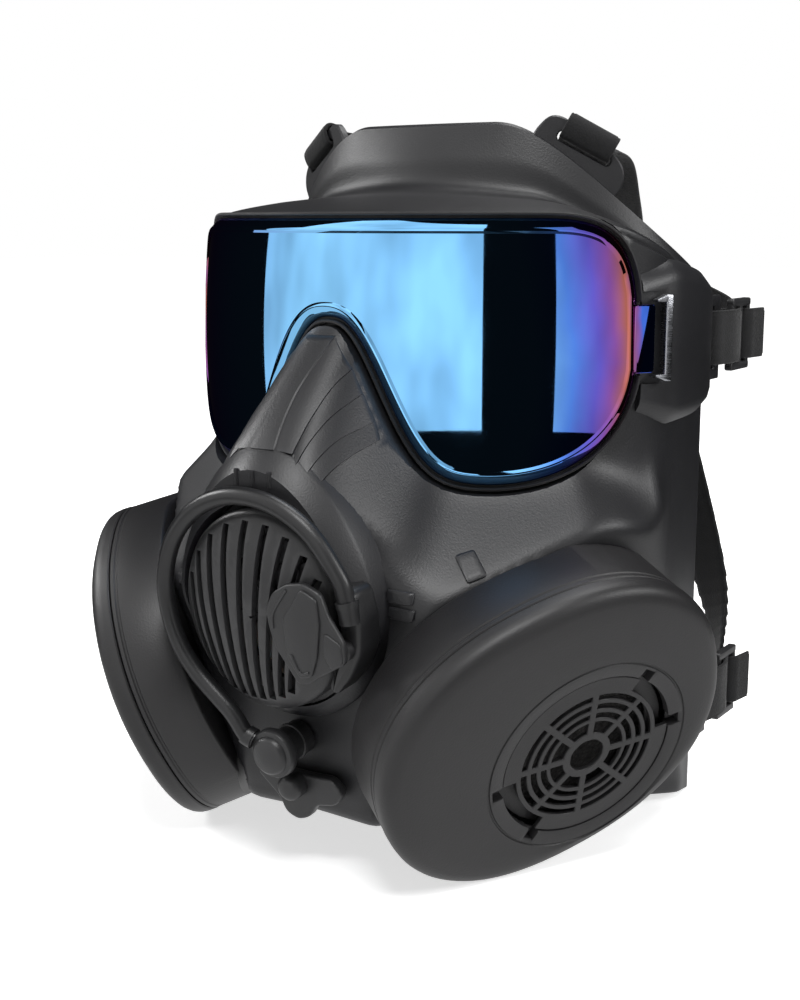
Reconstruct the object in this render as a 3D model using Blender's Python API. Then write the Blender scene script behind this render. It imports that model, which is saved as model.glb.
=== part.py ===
"""A full face respirator: moulded facepiece, panoramic lens, two side filters, an outlet
module with a drinking tube, an inner nose cup, valves and a head harness.

Lengths are in millimetres up to put(), which writes metres. +X is the wearer's left, the
mask faces -Y and +Z is up. The object stands on the two filter rims and the jaw corners."""

import math

import bmesh
import bpy
import numpy as np

MM = 0.001
Y_SHIFT = -29.0  # centres the object on the origin front to back
GAP = 0.35  # between neighbouring pieces

# facepiece shell, in polar form about a vertical axis behind the nose
AXIS_Y = 64.0
BASE_R = 103.0
REAR_R = 84.0
REAR_DEG = 97.0
WALL = 3.0
WALL_ROWS = 15
BROW_ROW = WALL_ROWS + 3

# lens
LENS_R = 109.0
LENS_T = 2.4
LENS_DEG = 55.8
LENS_AT = (0.0, AXIS_Y - LENS_R, 177.0)

# side filter, in the frame of its rim
CAN_AT = np.array([84.3, -36.8, 52.02])
CAN_W = np.array([0.8193, -0.4498, -0.3555])
CAN_T = np.array([0.4813, 0.8766, 0.0])
CAN_A, CAN_B, CAN_POWER = 62.0, 54.2, 2.25
CAN_TILT = 22.0  # long axis, up towards the back
CAN_TAPER = 0.06
CAN_BACK = -27.0
GRILLE_AT = (12.2, -7.5)
GRILLE_R = 31.0
PORT_R = 19.0

# outlet module, in its own frame on the front of the snout
OUT_AT = np.array([0.0, -66.0, 94.0])
OUT_LEAN = math.radians(6.3)
COVER_A, COVER_B = 31.0, 33.5
LEVER_AT = (34.8, -6.0, 0.0)

# harness
STRAP_HEIGHTS = (172.0, 34.0)
BUCKLE_Y = 107.2

MATERIALS = {
    "shell_polymer": ((0.025, 0.025, 0.028), 0.0, 0.55),
    "seal_rubber": ((0.02, 0.02, 0.02), 0.0, 0.7),
    "hard_polymer": ((0.03, 0.03, 0.032), 0.0, 0.4),
    "mirror_blue": ((0.03, 0.16, 0.62), 0.9, 0.08),
    "clear_lens": ((0.55, 0.6, 0.62), 0.0, 0.1),
    "webbing": ((0.015, 0.015, 0.017), 0.0, 0.9),
    "filter_paper": ((0.05, 0.048, 0.045), 0.0, 0.9),
    "carbon": ((0.03, 0.03, 0.03), 0.0, 0.95),
    "silicone": ((0.62, 0.62, 0.58), 0.0, 0.5),
    "steel": ((0.6, 0.6, 0.62), 1.0, 0.3),
}


# ---------------------------------------------------------------- scene helpers


def clear_scene():
    for obj in list(bpy.data.objects):
        bpy.data.objects.remove(obj)


def material(name):
    found = bpy.data.materials.get(name)
    if found:
        return found
    made = bpy.data.materials.new(name)
    made.use_nodes = True
    colour, metallic, roughness = MATERIALS[name]
    shader = made.node_tree.nodes["Principled BSDF"]
    shader.inputs["Base Color"].default_value = (*colour, 1.0)
    shader.inputs["Metallic"].default_value = metallic
    shader.inputs["Roughness"].default_value = roughness
    return made


def put(name, shape, slot=None, origin=(0.0, 0.0, 0.0)):
    """A mesh object from (points, faces) in millimetres, with its own origin at the given
    point, which for a moving piece is on its joint's axis. With no slot it is a hidden cutter."""
    points, faces = shape
    origin = np.asarray(origin, float)
    mesh = bpy.data.meshes.new(name)
    local = (np.asarray(points, float) - origin) * MM
    mesh.from_pydata(local.tolist(), [], [tuple(f) for f in faces])
    work = bmesh.new()
    work.from_mesh(mesh)
    bmesh.ops.remove_doubles(work, verts=work.verts, dist=1e-7)
    bmesh.ops.recalc_face_normals(work, faces=work.faces)
    if work.calc_volume(signed=True) < 0:
        bmesh.ops.reverse_faces(work, faces=work.faces)
    work.to_mesh(mesh)
    work.free()
    obj = bpy.data.objects.new(name, mesh)
    obj.location = (origin + (0.0, Y_SHIFT, 0.0)) * MM
    bpy.context.scene.collection.objects.link(obj)
    if slot:
        mesh.materials.append(material(slot))
    else:
        obj.hide_render = True
        obj.display_type = "WIRE"
    return obj


def combine(obj, operation, *shapes):
    """One live Boolean on obj with all of the (points, faces) shapes together."""
    label = f"{obj.name}_{operation.lower()}_{len(obj.modifiers)}"
    group = bpy.data.collections.new(label)
    bpy.context.scene.collection.children.link(group)
    for number, shape in enumerate(shapes):
        cutter = put(f"{label}_{number}", shape)
        group.objects.link(cutter)
        bpy.context.scene.collection.objects.unlink(cutter)
    modifier = obj.modifiers.new(label, "BOOLEAN")
    modifier.operation = operation
    modifier.solver = "EXACT"
    modifier.operand_type = "COLLECTION"
    modifier.collection = group


def mirrored(shape):
    points, faces = shape
    return np.asarray(points, float) * (-1.0, 1.0, 1.0), faces


def both_sides(name, shape, slot, origin=(0.0, 0.0, 0.0)):
    """The wearer's left piece and its mirror image."""
    left = put(f"{name}_left", shape, slot, origin)
    return [left, put(f"{name}_right", mirrored(shape), slot, np.multiply(origin, (-1, 1, 1)))]


# ---------------------------------------------------------------- shape builders


def smooth(t):
    t = np.clip(t, 0.0, 1.0)
    return t * t * (3.0 - 2.0 * t)


def soft_min(values, width):
    values = np.array(values)
    low = values.min(axis=0)
    return low - width * np.log(np.exp(-(values - low) / width).sum(axis=0))


def loft(rings, loop=False):
    """Closed rings joined in order, with a fan at each end, or end to end as a loop."""
    rings = np.asarray(rings, float)
    count, size = rings.shape[:2]
    points = list(rings.reshape(-1, 3))
    faces = []
    for i in range(count if loop else count - 1):
        a, b = i * size, ((i + 1) % count) * size
        for j in range(size):
            k = (j + 1) % size
            faces += [(a + j, a + k, b + k), (a + j, b + k, b + j)]
    if not loop:
        for ring in (0, count - 1):
            centre = len(points)
            points.append(rings[ring].mean(axis=0))
            start = ring * size
            faces += [(start + j, start + (j + 1) % size, centre) for j in range(size)]
    return np.array(points), faces


def sheet(front, back):
    """Two grids of the same size joined along their four edges into one closed sheet."""
    front, back = np.asarray(front, float), np.asarray(back, float)
    rows, columns = front.shape[:2]
    points = np.concatenate([front.reshape(-1, 3), back.reshape(-1, 3)])
    half = rows * columns
    faces = []
    for i in range(rows - 1):
        for j in range(columns - 1):
            a = i * columns + j
            for face in ((a, a + 1, a + columns + 1), (a, a + columns + 1, a + columns)):
                faces += [face, tuple(half + k for k in reversed(face))]
    rim = [j for j in range(columns)]
    rim += [i * columns + columns - 1 for i in range(1, rows)]
    rim += [(rows - 1) * columns + j for j in range(columns - 2, -1, -1)]
    rim += [i * columns for i in range(rows - 2, 0, -1)]
    for a, b in zip(rim, rim[1:] + rim[:1]):
        faces.append((a, b, half + b, half + a))
    return points, faces


def sweep(path, side, section, loop=False):
    """A section of (across, out) corners swept along path; side is the across direction."""
    path = np.asarray(path, float)
    if loop:
        ahead = np.roll(path, -1, axis=0) - np.roll(path, 1, axis=0)
    else:
        ahead = np.gradient(path, axis=0)
    ahead /= np.linalg.norm(ahead, axis=1)[:, None]
    across = np.broadcast_to(np.asarray(side, float), path.shape)
    across = across - ahead * (across * ahead).sum(axis=1)[:, None]
    across /= np.linalg.norm(across, axis=1)[:, None]
    out = np.cross(across, ahead)
    rings = [[p + s * a + o * b for a, b in section] for p, s, o in zip(path, across, out)]
    return loft(rings, loop=loop)


def flat(width, thick):
    w, h = width / 2, thick / 2
    return [(-w, -h), (w, -h), (w, h), (-w, h)]


def circle(radius, sides):
    turn = np.arange(sides) * 2 * math.pi / sides
    return [(radius * math.cos(a), radius * math.sin(a)) for a in turn]


def bend(points, count):
    """A smooth path through a few points (Catmull-Rom), with count steps to a span."""
    pts = np.asarray(points, float)
    pts = np.vstack([2 * pts[0] - pts[1], pts, 2 * pts[-1] - pts[-2]])
    path = []
    for i in range(1, len(pts) - 2):
        a, b, c, d = pts[i - 1 : i + 3]
        for t in np.arange(count) / count:
            cubic = 2 * b + (c - a) * t + (2 * a - 5 * b + 4 * c - d) * t**2
            path.append(0.5 * (cubic + (3 * b - a - 3 * c + d) * t**3))
    path.append(pts[-2])
    return np.array(path)


def frame_points(frame, uvw):
    """Points from (u, v, w) in a frame (origin, u, v, w) to the object's own space."""
    origin, u, v, w = frame
    uvw = np.asarray(uvw, float)
    return origin + uvw[..., :1] * u + uvw[..., 1:2] * v + uvw[..., 2:3] * w


def ring_at(frame, outline, w):
    """One ring of a loft: a flat outline of (u, v) at height w, which may vary."""
    outline = np.asarray(outline, float)
    height = np.broadcast_to(np.asarray(w, float), (len(outline),))
    return frame_points(frame, np.column_stack([outline, height]))


def drum(frame, radius, w0, w1, centre=(0.0, 0.0), sides=32):
    turn = np.arange(sides) * 2 * math.pi / sides
    outline = np.column_stack([np.cos(turn), np.sin(turn)]) * radius + centre
    return loft([ring_at(frame, outline, w0), ring_at(frame, outline, w1)])


def tube(frame, sections, sides=28, centre=(0.0, 0.0)):
    """A hollow turned piece: sections are (radius, w) corners round its cross section."""
    turn = np.arange(sides) * 2 * math.pi / sides
    unit = np.column_stack([np.cos(turn), np.sin(turn)])
    rings = [ring_at(frame, unit * r + centre, w) for r, w in sections]
    return loft(rings, loop=True)


def prism(frame, outline, w0, w1):
    """A straight prism on an outline that every part of its middle can see."""
    return loft([ring_at(frame, outline, w0), ring_at(frame, outline, w1)])


def polar_plate(frame, radii, angles, keep, w0, w1, centre=(0.0, 0.0)):
    """A flat plate made of the ring sectors for which keep(ring, sector) is true."""
    radii, angles = np.asarray(radii, float), np.radians(angles)
    rings, sectors = len(radii) - 1, len(angles)
    flat = [(r * math.cos(a), r * math.sin(a)) for r in radii for a in angles]
    flat = np.array(flat) + centre
    lower, upper = ring_at(frame, flat, w0), ring_at(frame, flat, w1)
    half = len(flat)
    faces = []
    for i in range(rings):
        for j in range(sectors):
            if not keep(i, j):
                continue
            k = (j + 1) % sectors
            corner = [i * sectors + j, i * sectors + k]
            corner += [(i + 1) * sectors + k, (i + 1) * sectors + j]
            faces += [tuple(half + c for c in corner), tuple(reversed(corner))]
            open_edges = (
                (0, 1, i == 0 or not keep(i - 1, j)),
                (1, 2, not keep(i, k)),
                (2, 3, i == rings - 1 or not keep(i + 1, j)),
                (3, 0, not keep(i, (j - 1) % sectors)),
            )
            for a, b, is_open in open_edges:
                if is_open:
                    a, b = corner[a], corner[b]
                    faces.append((a, b, half + b, half + a))
    used = sorted({c for face in faces for c in face})
    renumber = {old: new for new, old in enumerate(used)}
    points = np.concatenate([lower, upper])[used]
    return points, [tuple(renumber[c] for c in face) for face in faces]


def box(centre, u, v, size):
    """A box with its sides along unit vectors u, v and u x v."""
    u = np.asarray(u, float) / np.linalg.norm(u)
    v = np.asarray(v, float)
    v = v - u * (u @ v)
    v /= np.linalg.norm(v)
    frame = (np.asarray(centre, float), u, v, np.cross(u, v))
    a, b, c = (s / 2 for s in size)
    return prism(frame, [(-a, -b), (a, -b), (a, b), (-a, b)], -c, c)


def oval(a, b, power, turn_deg, angles, taper=0.0):
    """Radius of a superellipse at each angle, with its long axis turned."""
    local = np.asarray(angles) - math.radians(turn_deg)
    c, s = np.abs(np.cos(local)), np.abs(np.sin(local))
    return ((c / (a - taper)) ** power + (s / (b - taper)) ** power) ** (-1 / power)


# ---------------------------------------------------------------- lens outline


def lens_low(degrees):
    """Height of the lens's lower edge: a flat run, a rising corner and the nose arch."""
    a = np.abs(degrees)
    arch = 53.6 * np.exp(-((a / 13.8) ** 2.5))
    q = np.clip((a - 28.0) / 28.0, 0.0, 1.0) ** 2.3
    return 130.0 + arch + 45.0 * (1.0 - (1.0 - q) ** (1 / 2.3))


def lens_high(degrees):
    q = np.clip((np.abs(degrees) - 36.0) / 20.0, 0.0, 1.0) ** 3.5
    return 215.3 - 40.0 * (1.0 - (1.0 - q) ** (1 / 3.5))


def spread(count):
    """Steps from -1 to 1 that crowd towards the nose arch and both ends."""
    t = np.linspace(-1.0, 1.0, count)
    return t - 0.55 * np.sin(2 * math.pi * t) / (2 * math.pi)


def lens_loop(outset, count=120):
    """The lens outline moved outwards, as closed points of (arc length, height)."""
    limit = math.radians(LENS_DEG)
    along = spread(count // 2 + 1) * limit
    low = np.column_stack([along * LENS_R, lens_low(np.degrees(along))])
    high = np.column_stack([along * LENS_R, lens_high(np.degrees(along))])[::-1]
    points = np.concatenate([low, high])
    ahead = np.roll(points, -1, axis=0) - np.roll(points, 1, axis=0)
    ahead /= np.linalg.norm(ahead, axis=1)[:, None]
    return points + np.column_stack([ahead[:, 1], -ahead[:, 0]]) * outset


def lens_grid(outset, radius, columns=34, rows=5, tab=False):
    """A grid over the lens outline on a cylinder of the given radius."""
    loop = lens_loop(outset, 240)
    half = len(loop) // 2
    low, high = loop[:half], loop[half:][::-1]
    start = max(low[0, 0], high[0, 0]) + 0.05
    along = -start * spread(columns)
    z_low = np.interp(along, low[:, 0], low[:, 1])
    z_high = np.interp(along, high[:, 0], high[:, 1])
    if tab:
        ends = np.array([1.2, 4.2])
        along = np.concatenate([along[0] - ends[::-1], along, along[-1] + ends])
        z_low = np.concatenate([[166.0] * 2, z_low, [166.0] * 2])
        z_high = np.concatenate([[188.0] * 2, z_high, [188.0] * 2])
    angle = along / LENS_R
    share = np.linspace(0.0, 1.0, rows)
    z = z_low[:, None] + (z_high - z_low)[:, None] * share
    x = np.broadcast_to((radius * np.sin(angle))[:, None], z.shape)
    y = np.broadcast_to((AXIS_Y - radius * np.cos(angle))[:, None], z.shape)
    return np.stack([x, y, z], axis=-1)


def lens_prism(outset, near, far, columns=34):
    """Everything between two radii inside the lens outline, as a cutter."""
    return sheet(lens_grid(outset, far, columns, 3), lens_grid(outset, near, columns, 3))


def lens_band(sections, count=64):
    """A ring round the lens outline; sections are (outset, radius) corners."""
    rings = []
    for outset, radius in sections:
        loop = lens_loop(outset, count)
        angle = loop[:, 0] / LENS_R
        x, y = radius * np.sin(angle), AXIS_Y - radius * np.cos(angle)
        rings.append(np.column_stack([x, y, loop[:, 1]]))
    return loft(rings, loop=True)


# ---------------------------------------------------------------- facepiece shell


def snout_front(z):
    """How far forward the flat front of the snout is at each height."""
    lean = math.tan(OUT_LEAN) * (np.maximum(z, 58.0) - OUT_AT[2])
    chin = 0.0025 * np.clip(58.0 - z, 0.0, 58.0) ** 2
    hood = 12.5 * smooth((z - 112.0) / 22.0)
    return OUT_AT[1] - lean + chin - hood


def base_radius(a):
    return BASE_R - (BASE_R - REAR_R) * smooth((a - 50.0) / (REAR_DEG - 50.0))


def wall_radius(phi, z):
    """Outer radius of the facepiece wall: a cylinder behind the lens, a flare below it,
    a flat face under each filter and a flat front to the snout."""
    a = np.abs(phi)
    sine, cosine = np.sin(np.radians(a)), np.cos(np.radians(a))
    drop = lens_low(np.minimum(a, 55.0)) + 2.5 - z
    flare = BASE_R + 3.0 * np.logaddexp(0.0, drop / 3.0)
    seat = CAN_W @ CAN_AT + CAN_BACK - GAP
    pod = (seat - CAN_W[1] * AXIS_Y - CAN_W[2] * z) / (CAN_W[0] * sine - CAN_W[1] * cosine)
    front = (AXIS_Y - snout_front(z)) / np.maximum(cosine, 0.15)
    forward = soft_min([flare, pod, front], 1.6)
    base = base_radius(a)
    blended = base + (forward - base) * (1.0 - smooth((a - 50.0) / 22.0))
    return soft_min([blended, pod], 0.8)


def inner_radius(phi, z, outer):
    thick_nose = BASE_R - WALL + np.maximum(0.0, lens_low(np.minimum(np.abs(phi), 55.0)) - 9.0 - z)
    return np.minimum(outer - WALL, thick_nose)


def rim_radius(a):
    sine, cosine = np.sin(np.radians(a)), np.cos(np.radians(a))
    return 1.0 / np.sqrt((sine / 82.0) ** 2 + (cosine / 48.0) ** 2)


def rim_height(a):
    return 247.0 - 52.0 * smooth((a - 30.0) / 70.0) ** 1.15


def brow_height(a):
    return 217.0 - 27.0 * smooth((a - 40.0) / 57.0)


def shell_rows(phi, outset=0.0):
    """(radius, height) of the outer surface down each column, from jaw edge to forehead."""
    a = np.abs(phi)
    s = a / REAR_DEG
    z_floor, z_low = 13.0 * (1 - s**2), 26.0 - 22.0 * s**2
    r_floor = 62.0 + 21.0 * s**1.5
    r_low = wall_radius(phi, z_low)
    rows = [(r_floor, z_floor), ((r_floor + r_low) / 2, z_floor + 0.2)]
    rows += [(r_low - 6.0 * (1 - s), z_floor + 3.0 * (1 - s) + 0.6), (r_low, z_low)]
    brow = brow_height(a)
    for share in np.linspace(0.0, 1.0, WALL_ROWS)[1:]:
        z = z_low + (brow - 4.0 - z_low) * share
        rows.append((wall_radius(phi, z), z))
    r_brow, r_rim, z_rim = base_radius(a), rim_radius(a), rim_height(a)
    crease = 10.0 - 6.0 * smooth(a / 80.0)
    z_crease = brow + 8.6 - 6.8 * smooth(a / 90.0)
    r_crease = np.minimum(r_rim + crease, r_brow - 2.4)
    rows.append((r_brow - 1.5, brow))
    lift = np.clip((r_brow - r_crease) / 12.0 - 0.2, 0.0, 1.0)
    rows.append(((r_brow - 1.5 + r_crease) / 2, (brow + z_crease) / 2 + lift))
    rows.append((r_crease, z_crease))
    rows.append(((r_crease + r_rim) / 2, z_crease + 0.5 * (z_rim - z_crease)))
    rows.append((r_rim, z_rim))
    return np.array([(r + outset, z) for r, z in rows], float)


def shell_columns():
    half = np.array([4.0, 8.0, 12.0, 16.0, 21.0, 27.0, 34.0, 41.0, 48.0, 55.0, 62.0, 69.0])
    half = np.concatenate([half, [76.0, 83.0, 90.0, REAR_DEG]])
    return np.concatenate([-half[::-1], [0.0], half])


def polar_point(phi, r, z):
    angle = np.radians(phi)
    return np.stack([r * np.sin(angle), AXIS_Y - r * np.cos(angle), z], axis=-1)


def outer_grid(outset=0.0):
    grid = [polar_point(phi, *shell_rows(phi, outset).T) for phi in shell_columns()]
    return np.array(grid)


def inner_grid():
    """The inside of the wall: level under the floor and brow, and radial elsewhere."""
    grid = []
    for phi in shell_columns():
        rows = shell_rows(phi)
        r, z = rows[:, 0].copy(), rows[:, 1].copy()
        wall, brow = slice(3, BROW_ROW), slice(BROW_ROW, BROW_ROW + 3)
        shelf = min(1.0, (r[BROW_ROW] - r[BROW_ROW + 2]) / 12.0)
        r[wall] = inner_radius(phi, z[wall], r[wall])
        z[:3] += WALL
        r[2] = r[3] - 1.5
        r[0] = min(r[0], r[3] - 4.0)
        r[1] = (r[0] + r[2]) / 2
        z[brow] -= WALL * shelf
        r[BROW_ROW:] -= WALL
        grid.append(polar_point(phi, r, z))
    return np.array(grid)


def shell_block(outset):
    """The space inside the shell's outer surface, closed at the back, as a cutter."""
    grid = outer_grid(outset)
    rings = []
    for row in range(3, grid.shape[1]):
        ring = grid[:, row]
        rings.append(ring)
    rings[0] = rings[0] * (1, 1, 0) + (0, 0, -30.0)
    return loft(rings)


def can_frame(lift=0.0):
    return (CAN_AT + CAN_W * lift, CAN_T, np.cross(CAN_W, CAN_T), CAN_W)


def out_frame(at=(0.0, 0.0, 0.0)):
    c, s = math.cos(OUT_LEAN), math.sin(OUT_LEAN)
    u, v, w = np.array([1.0, 0, 0]), np.array([0, -s, c]), np.array([0, -c, -s])
    return (OUT_AT + at[0] * u + at[1] * v + at[2] * w, u, v, w)


def ellipse(a, b, count=40, centre=(0.0, 0.0), power=2.0):
    turn = np.arange(count) * 2 * math.pi / count
    r = oval(a, b, power, 0.0, turn)
    return np.column_stack([np.cos(turn), np.sin(turn)]) * r[:, None] + centre


def collar():
    """The raised rim round the outlet module."""
    frame = out_frame()
    inner, outer, top = ellipse(33.0, 35.8), ellipse(37.5, 40.5), ellipse(35.5, 38.5)
    rings = [ring_at(frame, inner, -4.0), ring_at(frame, outer, -4.0)]
    rings += [ring_at(frame, outer, 11.0), ring_at(frame, top, 13.5), ring_at(frame, inner, 13.5)]
    return loft(rings, loop=True)


def tab_frame(side):
    """The plane of the ear on the forehead rim that the upper strap is threaded through."""
    u = np.array([side * 0.79, 0.39, -0.48])
    u /= np.linalg.norm(u)
    v = np.cross(np.cross(u, (0.0, 0.0, 1.0)), u)
    v /= np.linalg.norm(v)
    return np.array([side * 52.0, 30.5, 233.5]), u, v, np.cross(u, v)


def strap_tab(side, grow=1.0, half=1.6):
    outline = [(-17.0, -3.0), (17.0, -8.0), (18.0, 2.0), (15.0, 7.0), (8.0, 10.0)]
    outline += [(-12.0, 12.0), (-16.0, 10.0), (-18.0, 3.0)]
    frame, outline = tab_frame(side), np.array(outline) * grow
    if grow > 1.0:
        return prism(frame, outline, -half, half)
    slot = [(-9.6, 4.3), (9.6, 4.3), (10.2, 5.0), (10.2, 6.3), (9.5, 7.2)]
    slot += [(-9.5, 7.6), (-10.2, 6.9), (-10.2, 5.0)]
    rings = [ring_at(frame, slot, -half), ring_at(frame, outline, -half)]
    rings += [ring_at(frame, outline, half), ring_at(frame, slot, half)]
    return loft(rings, loop=True)


def temple_block():
    """The bolster on each temple that the end of the lens latches into."""
    points = []
    for phi, r, z0, z1 in ((57.5, 105.5, 150.0, 200.0), (66.0, 104.0, 146.0, 203.0),
                           (78.0, 97.5, 146.0, 200.0), (90.0, 90.5, 148.0, 196.0)):
        inner = base_radius(phi) - 2.0
        ring = [polar_point(phi, inner, z0), polar_point(phi, r, z0 + 5.0)]
        ring += [polar_point(phi, r, z1 - 5.0), polar_point(phi, inner, z1)]
        points.append(ring)
    return loft(points)


def build_shell():
    shell = put("facepiece_shell", sheet(outer_grid(), inner_grid()), "shell_polymer")
    block = temple_block()
    added = [collar(), block, mirrored(block), strap_tab(1), strap_tab(-1)]
    cut = [lens_prism(3.0, BASE_R + 0.8, 170.0, 44), lens_prism(-6.8, 80.0, 150.0, 44)]
    cut.append(prism(out_frame(), ellipse(25.4, 28.4), -30.0, 8.0))
    cut.append(prism(out_frame(), ellipse(32.8, 35.6), 0.15, 40.0))
    latch, port = latch_pocket(), drum(can_frame(), PORT_R + GAP, -45.0, -20.0)
    cut += [latch, mirrored(latch), port, mirrored(port)]
    for z in STRAP_HEIGHTS:
        tab, slot = rear_tab(z)
        added += [tab, mirrored(tab)]
        cut += [slot, mirrored(slot)]
    combine(shell, "UNION", *added)
    combine(shell, "DIFFERENCE", *cut)
    return shell


def latch_pocket():
    """The pocket in the temple block for the lens tab and its latch."""
    middle = polar_point(60.0, 108.5, 177.0)
    along = np.array([math.cos(math.radians(60.0)), math.sin(math.radians(60.0)), 0.0])
    return box(middle, along, (0, 0, 1), (11.0, 30.0, 8.0))


def rear_tab(z):
    """The slotted tab behind the shell's edge that a harness loop passes round."""
    tab = box((82.2, 79.5, z), (0, 1, 0), (0, 0, 1), (21.0, 31.0, 3.0))
    slot = box((82.2, 82.35, z), (0, 1, 0), (0, 0, 1), (4.3, 23.0, 12.0))
    return tab, slot


# ---------------------------------------------------------------- seal and lenses


def border(grid, depth):
    """The border points of a grid in order, or for depth 1 the ones just inside them."""
    columns, rows = grid.shape[:2]
    index = [(i, 0) for i in range(columns)] + [(columns - 1, j) for j in range(1, rows - 1)]
    index += [(i, rows - 1) for i in range(columns - 1, -1, -1)]
    index += [(0, j) for j in range(rows - 2, 0, -1)]
    picks = [(np.clip(i, depth, columns - 1 - depth), np.clip(j, depth, rows - 1 - depth))
             for i, j in index]
    return np.array([grid[i, j] for i, j in picks])


def build_face_seal():
    """The soft lip round the inside of the shell's edge that lies against the face."""
    inner, outer = inner_grid(), outer_grid()
    rings = []
    for e, d, oe, od in zip(border(inner, 0), border(inner, 1), border(outer, 0), border(outer, 1)):
        inward = (e - oe) / np.linalg.norm(e - oe)
        deeper = (d - od) / np.linalg.norm(d - od)
        aim = np.array([0.0, 66.0, min(max(e[2], 70.0), 185.0)]) - e
        if e[2] < 30.0:
            aim[2] = max(aim[2], 0.55 * np.linalg.norm(aim[:2]))
        aim /= np.linalg.norm(aim)
        back = (e - d) / np.linalg.norm(e - d)
        rim = e + inward * 0.8 - back * 0.6
        ring = [d + deeper * 0.8, rim, rim + aim * 22.0]
        ring += [rim + aim * 21.0 - back * 2.4, rim + aim * 4.0 - back * 3.0, d + deeper * 3.0]
        rings.append(ring)
    seal = put("face_seal", loft(rings, loop=True), "seal_rubber")
    for side in (1, -1):
        combine(seal, "DIFFERENCE", strap_tab(side, 1.05, 2.2))


def build_lenses():
    corners = [(2.0, 104.2), (2.0, 108.2), (0.9, 108.2)]
    corners += [(0.9, 105.9), (-9.6, 105.9), (-9.6, 104.2)]
    band = put("visor_frame", lens_band(corners), "seal_rubber")
    notch = box(polar_point(56.8, 108.0, 177.0), tangent(56.8), (0, 0, 1), (9.0, 24.0, 5.0))
    combine(band, "DIFFERENCE", notch, mirrored(notch))
    clear = sheet(lens_grid(-8.5, 102.8, 30, 4), lens_grid(-8.5, 100.4, 30, 4))
    put("inner_lens", clear, "clear_lens")
    front = lens_grid(0.0, LENS_R, tab=True)
    back = lens_grid(0.0, LENS_R - LENS_T, tab=True)
    put("mirror_lens", sheet(front, back), "mirror_blue", LENS_AT)
    latch_parts()


def tangent(phi):
    return np.array([math.cos(math.radians(phi)), math.sin(math.radians(phi)), 0.0])


def latch_parts():
    """A two-pronged clip in each temple pocket, behind the lens tab."""
    at = polar_point(61.2, 107.2, 177.0)
    along = np.array([math.cos(math.radians(60.0)), math.sin(math.radians(60.0)), 0.0])
    out = np.array([math.sin(math.radians(60.0)), -math.cos(math.radians(60.0)), 0.0])
    frame = (at, along, np.array([0, 0, 1.0]), out)
    outline = [(2.6, -14.0), (2.6, 14.0), (0.6, 14.0), (-3.4, 12.4), (-3.4, 11.8), (0.4, 11.8)]
    outline += [(0.4, -11.8), (-3.4, -11.8), (-3.4, -12.4), (0.6, -14.0)]
    shape = frame_prism_concave(frame, outline, -1.6, 1.6)
    both_sides("lens_latch", shape, "steel")


def frame_prism_concave(frame, outline, w0, w1):
    """A prism whose ends are single flat polygons, for an outline with hollows."""
    lower, upper = ring_at(frame, outline, w0), ring_at(frame, outline, w1)
    size = len(outline)
    faces = [tuple(range(size)), tuple(range(2 * size - 1, size - 1, -1))]
    for j in range(size):
        k = (j + 1) % size
        faces.append((j, size + j, size + k, k))
    return np.concatenate([lower, upper]), faces


# ---------------------------------------------------------------- side filters


def can_outline(angles, inset, depth):
    """Outline of the filter at a depth behind its rim, moved inwards by inset."""
    return oval(CAN_A, CAN_B, CAN_POWER, CAN_TILT, angles, inset + CAN_TAPER * depth)


def can_ring(inset, w, count=48, centre_angles=None, edge_drop=None):
    angles = np.arange(count) * 2 * math.pi / count if centre_angles is None else centre_angles
    r = can_outline(angles, inset, abs(np.min(w)) if np.ndim(w) else abs(w))
    outline = np.column_stack([np.cos(angles), np.sin(angles)]) * r[:, None]
    height = w if edge_drop is None else w - edge_drop(outline)
    return ring_at(can_frame(), outline, height)


def back_extension(outline):
    """The filter's back wall reaches further where the cheek falls away from it."""
    return 9.0 * smooth((outline[:, 0] + 5.0) / 35.0)


def build_housing():
    rings = [can_ring(0.0, CAN_BACK, edge_drop=back_extension), can_ring(0.0, -7.4)]
    rings += [can_ring(2.6, -7.4), can_ring(2.6, -22.6)]
    housing = both_sides("filter_housing", loft(rings), "hard_polymer", CAN_AT)
    port = drum(can_frame(), PORT_R + GAP, -40.0, -10.0)
    block = shell_block(GAP + 0.1)
    for obj, shape in zip(housing, (port, mirrored(port))):
        combine(obj, "DIFFERENCE", block, shape)


def pocket_angles():
    """Angles round the grille: even steps, with the bayonet pocket ends put in."""
    steps = list(range(0, 360, 10))
    for middle in (40.0, 220.0):
        steps = [s for s in steps if min(abs(s - middle - e) for e in (-28, 28)) > 3.0]
        steps += [middle - 28.4, middle - 27.6, middle + 27.6, middle + 28.4]
    return np.radians(sorted(steps))


def in_pocket(angles, half):
    degrees = np.degrees(angles)
    near = [np.abs((degrees - middle + 180.0) % 360.0 - 180.0) < half for middle in (40.0, 220.0)]
    return near[0] | near[1]


def cap_ring(share, w, inset, angles):
    """A ring between the grille hole (share 0) and the cap's edge (share 1)."""
    hole = np.where(in_pocket(angles, 28.0), 35.2, GRILLE_R + GAP)
    ray = np.column_stack([np.cos(angles), np.sin(angles)])
    near = ray * hole[:, None] + GRILLE_AT
    reach = np.full(len(angles), 40.0)
    for _ in range(12):
        point = ray * reach[:, None] + GRILLE_AT
        around = np.arctan2(point[:, 1], point[:, 0])
        reach += can_outline(around, inset, 0.0) - np.linalg.norm(point, axis=1)
    far = ray * reach[:, None] + GRILLE_AT
    return ring_at(can_frame(), near + (far - near) * share, w)


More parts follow.
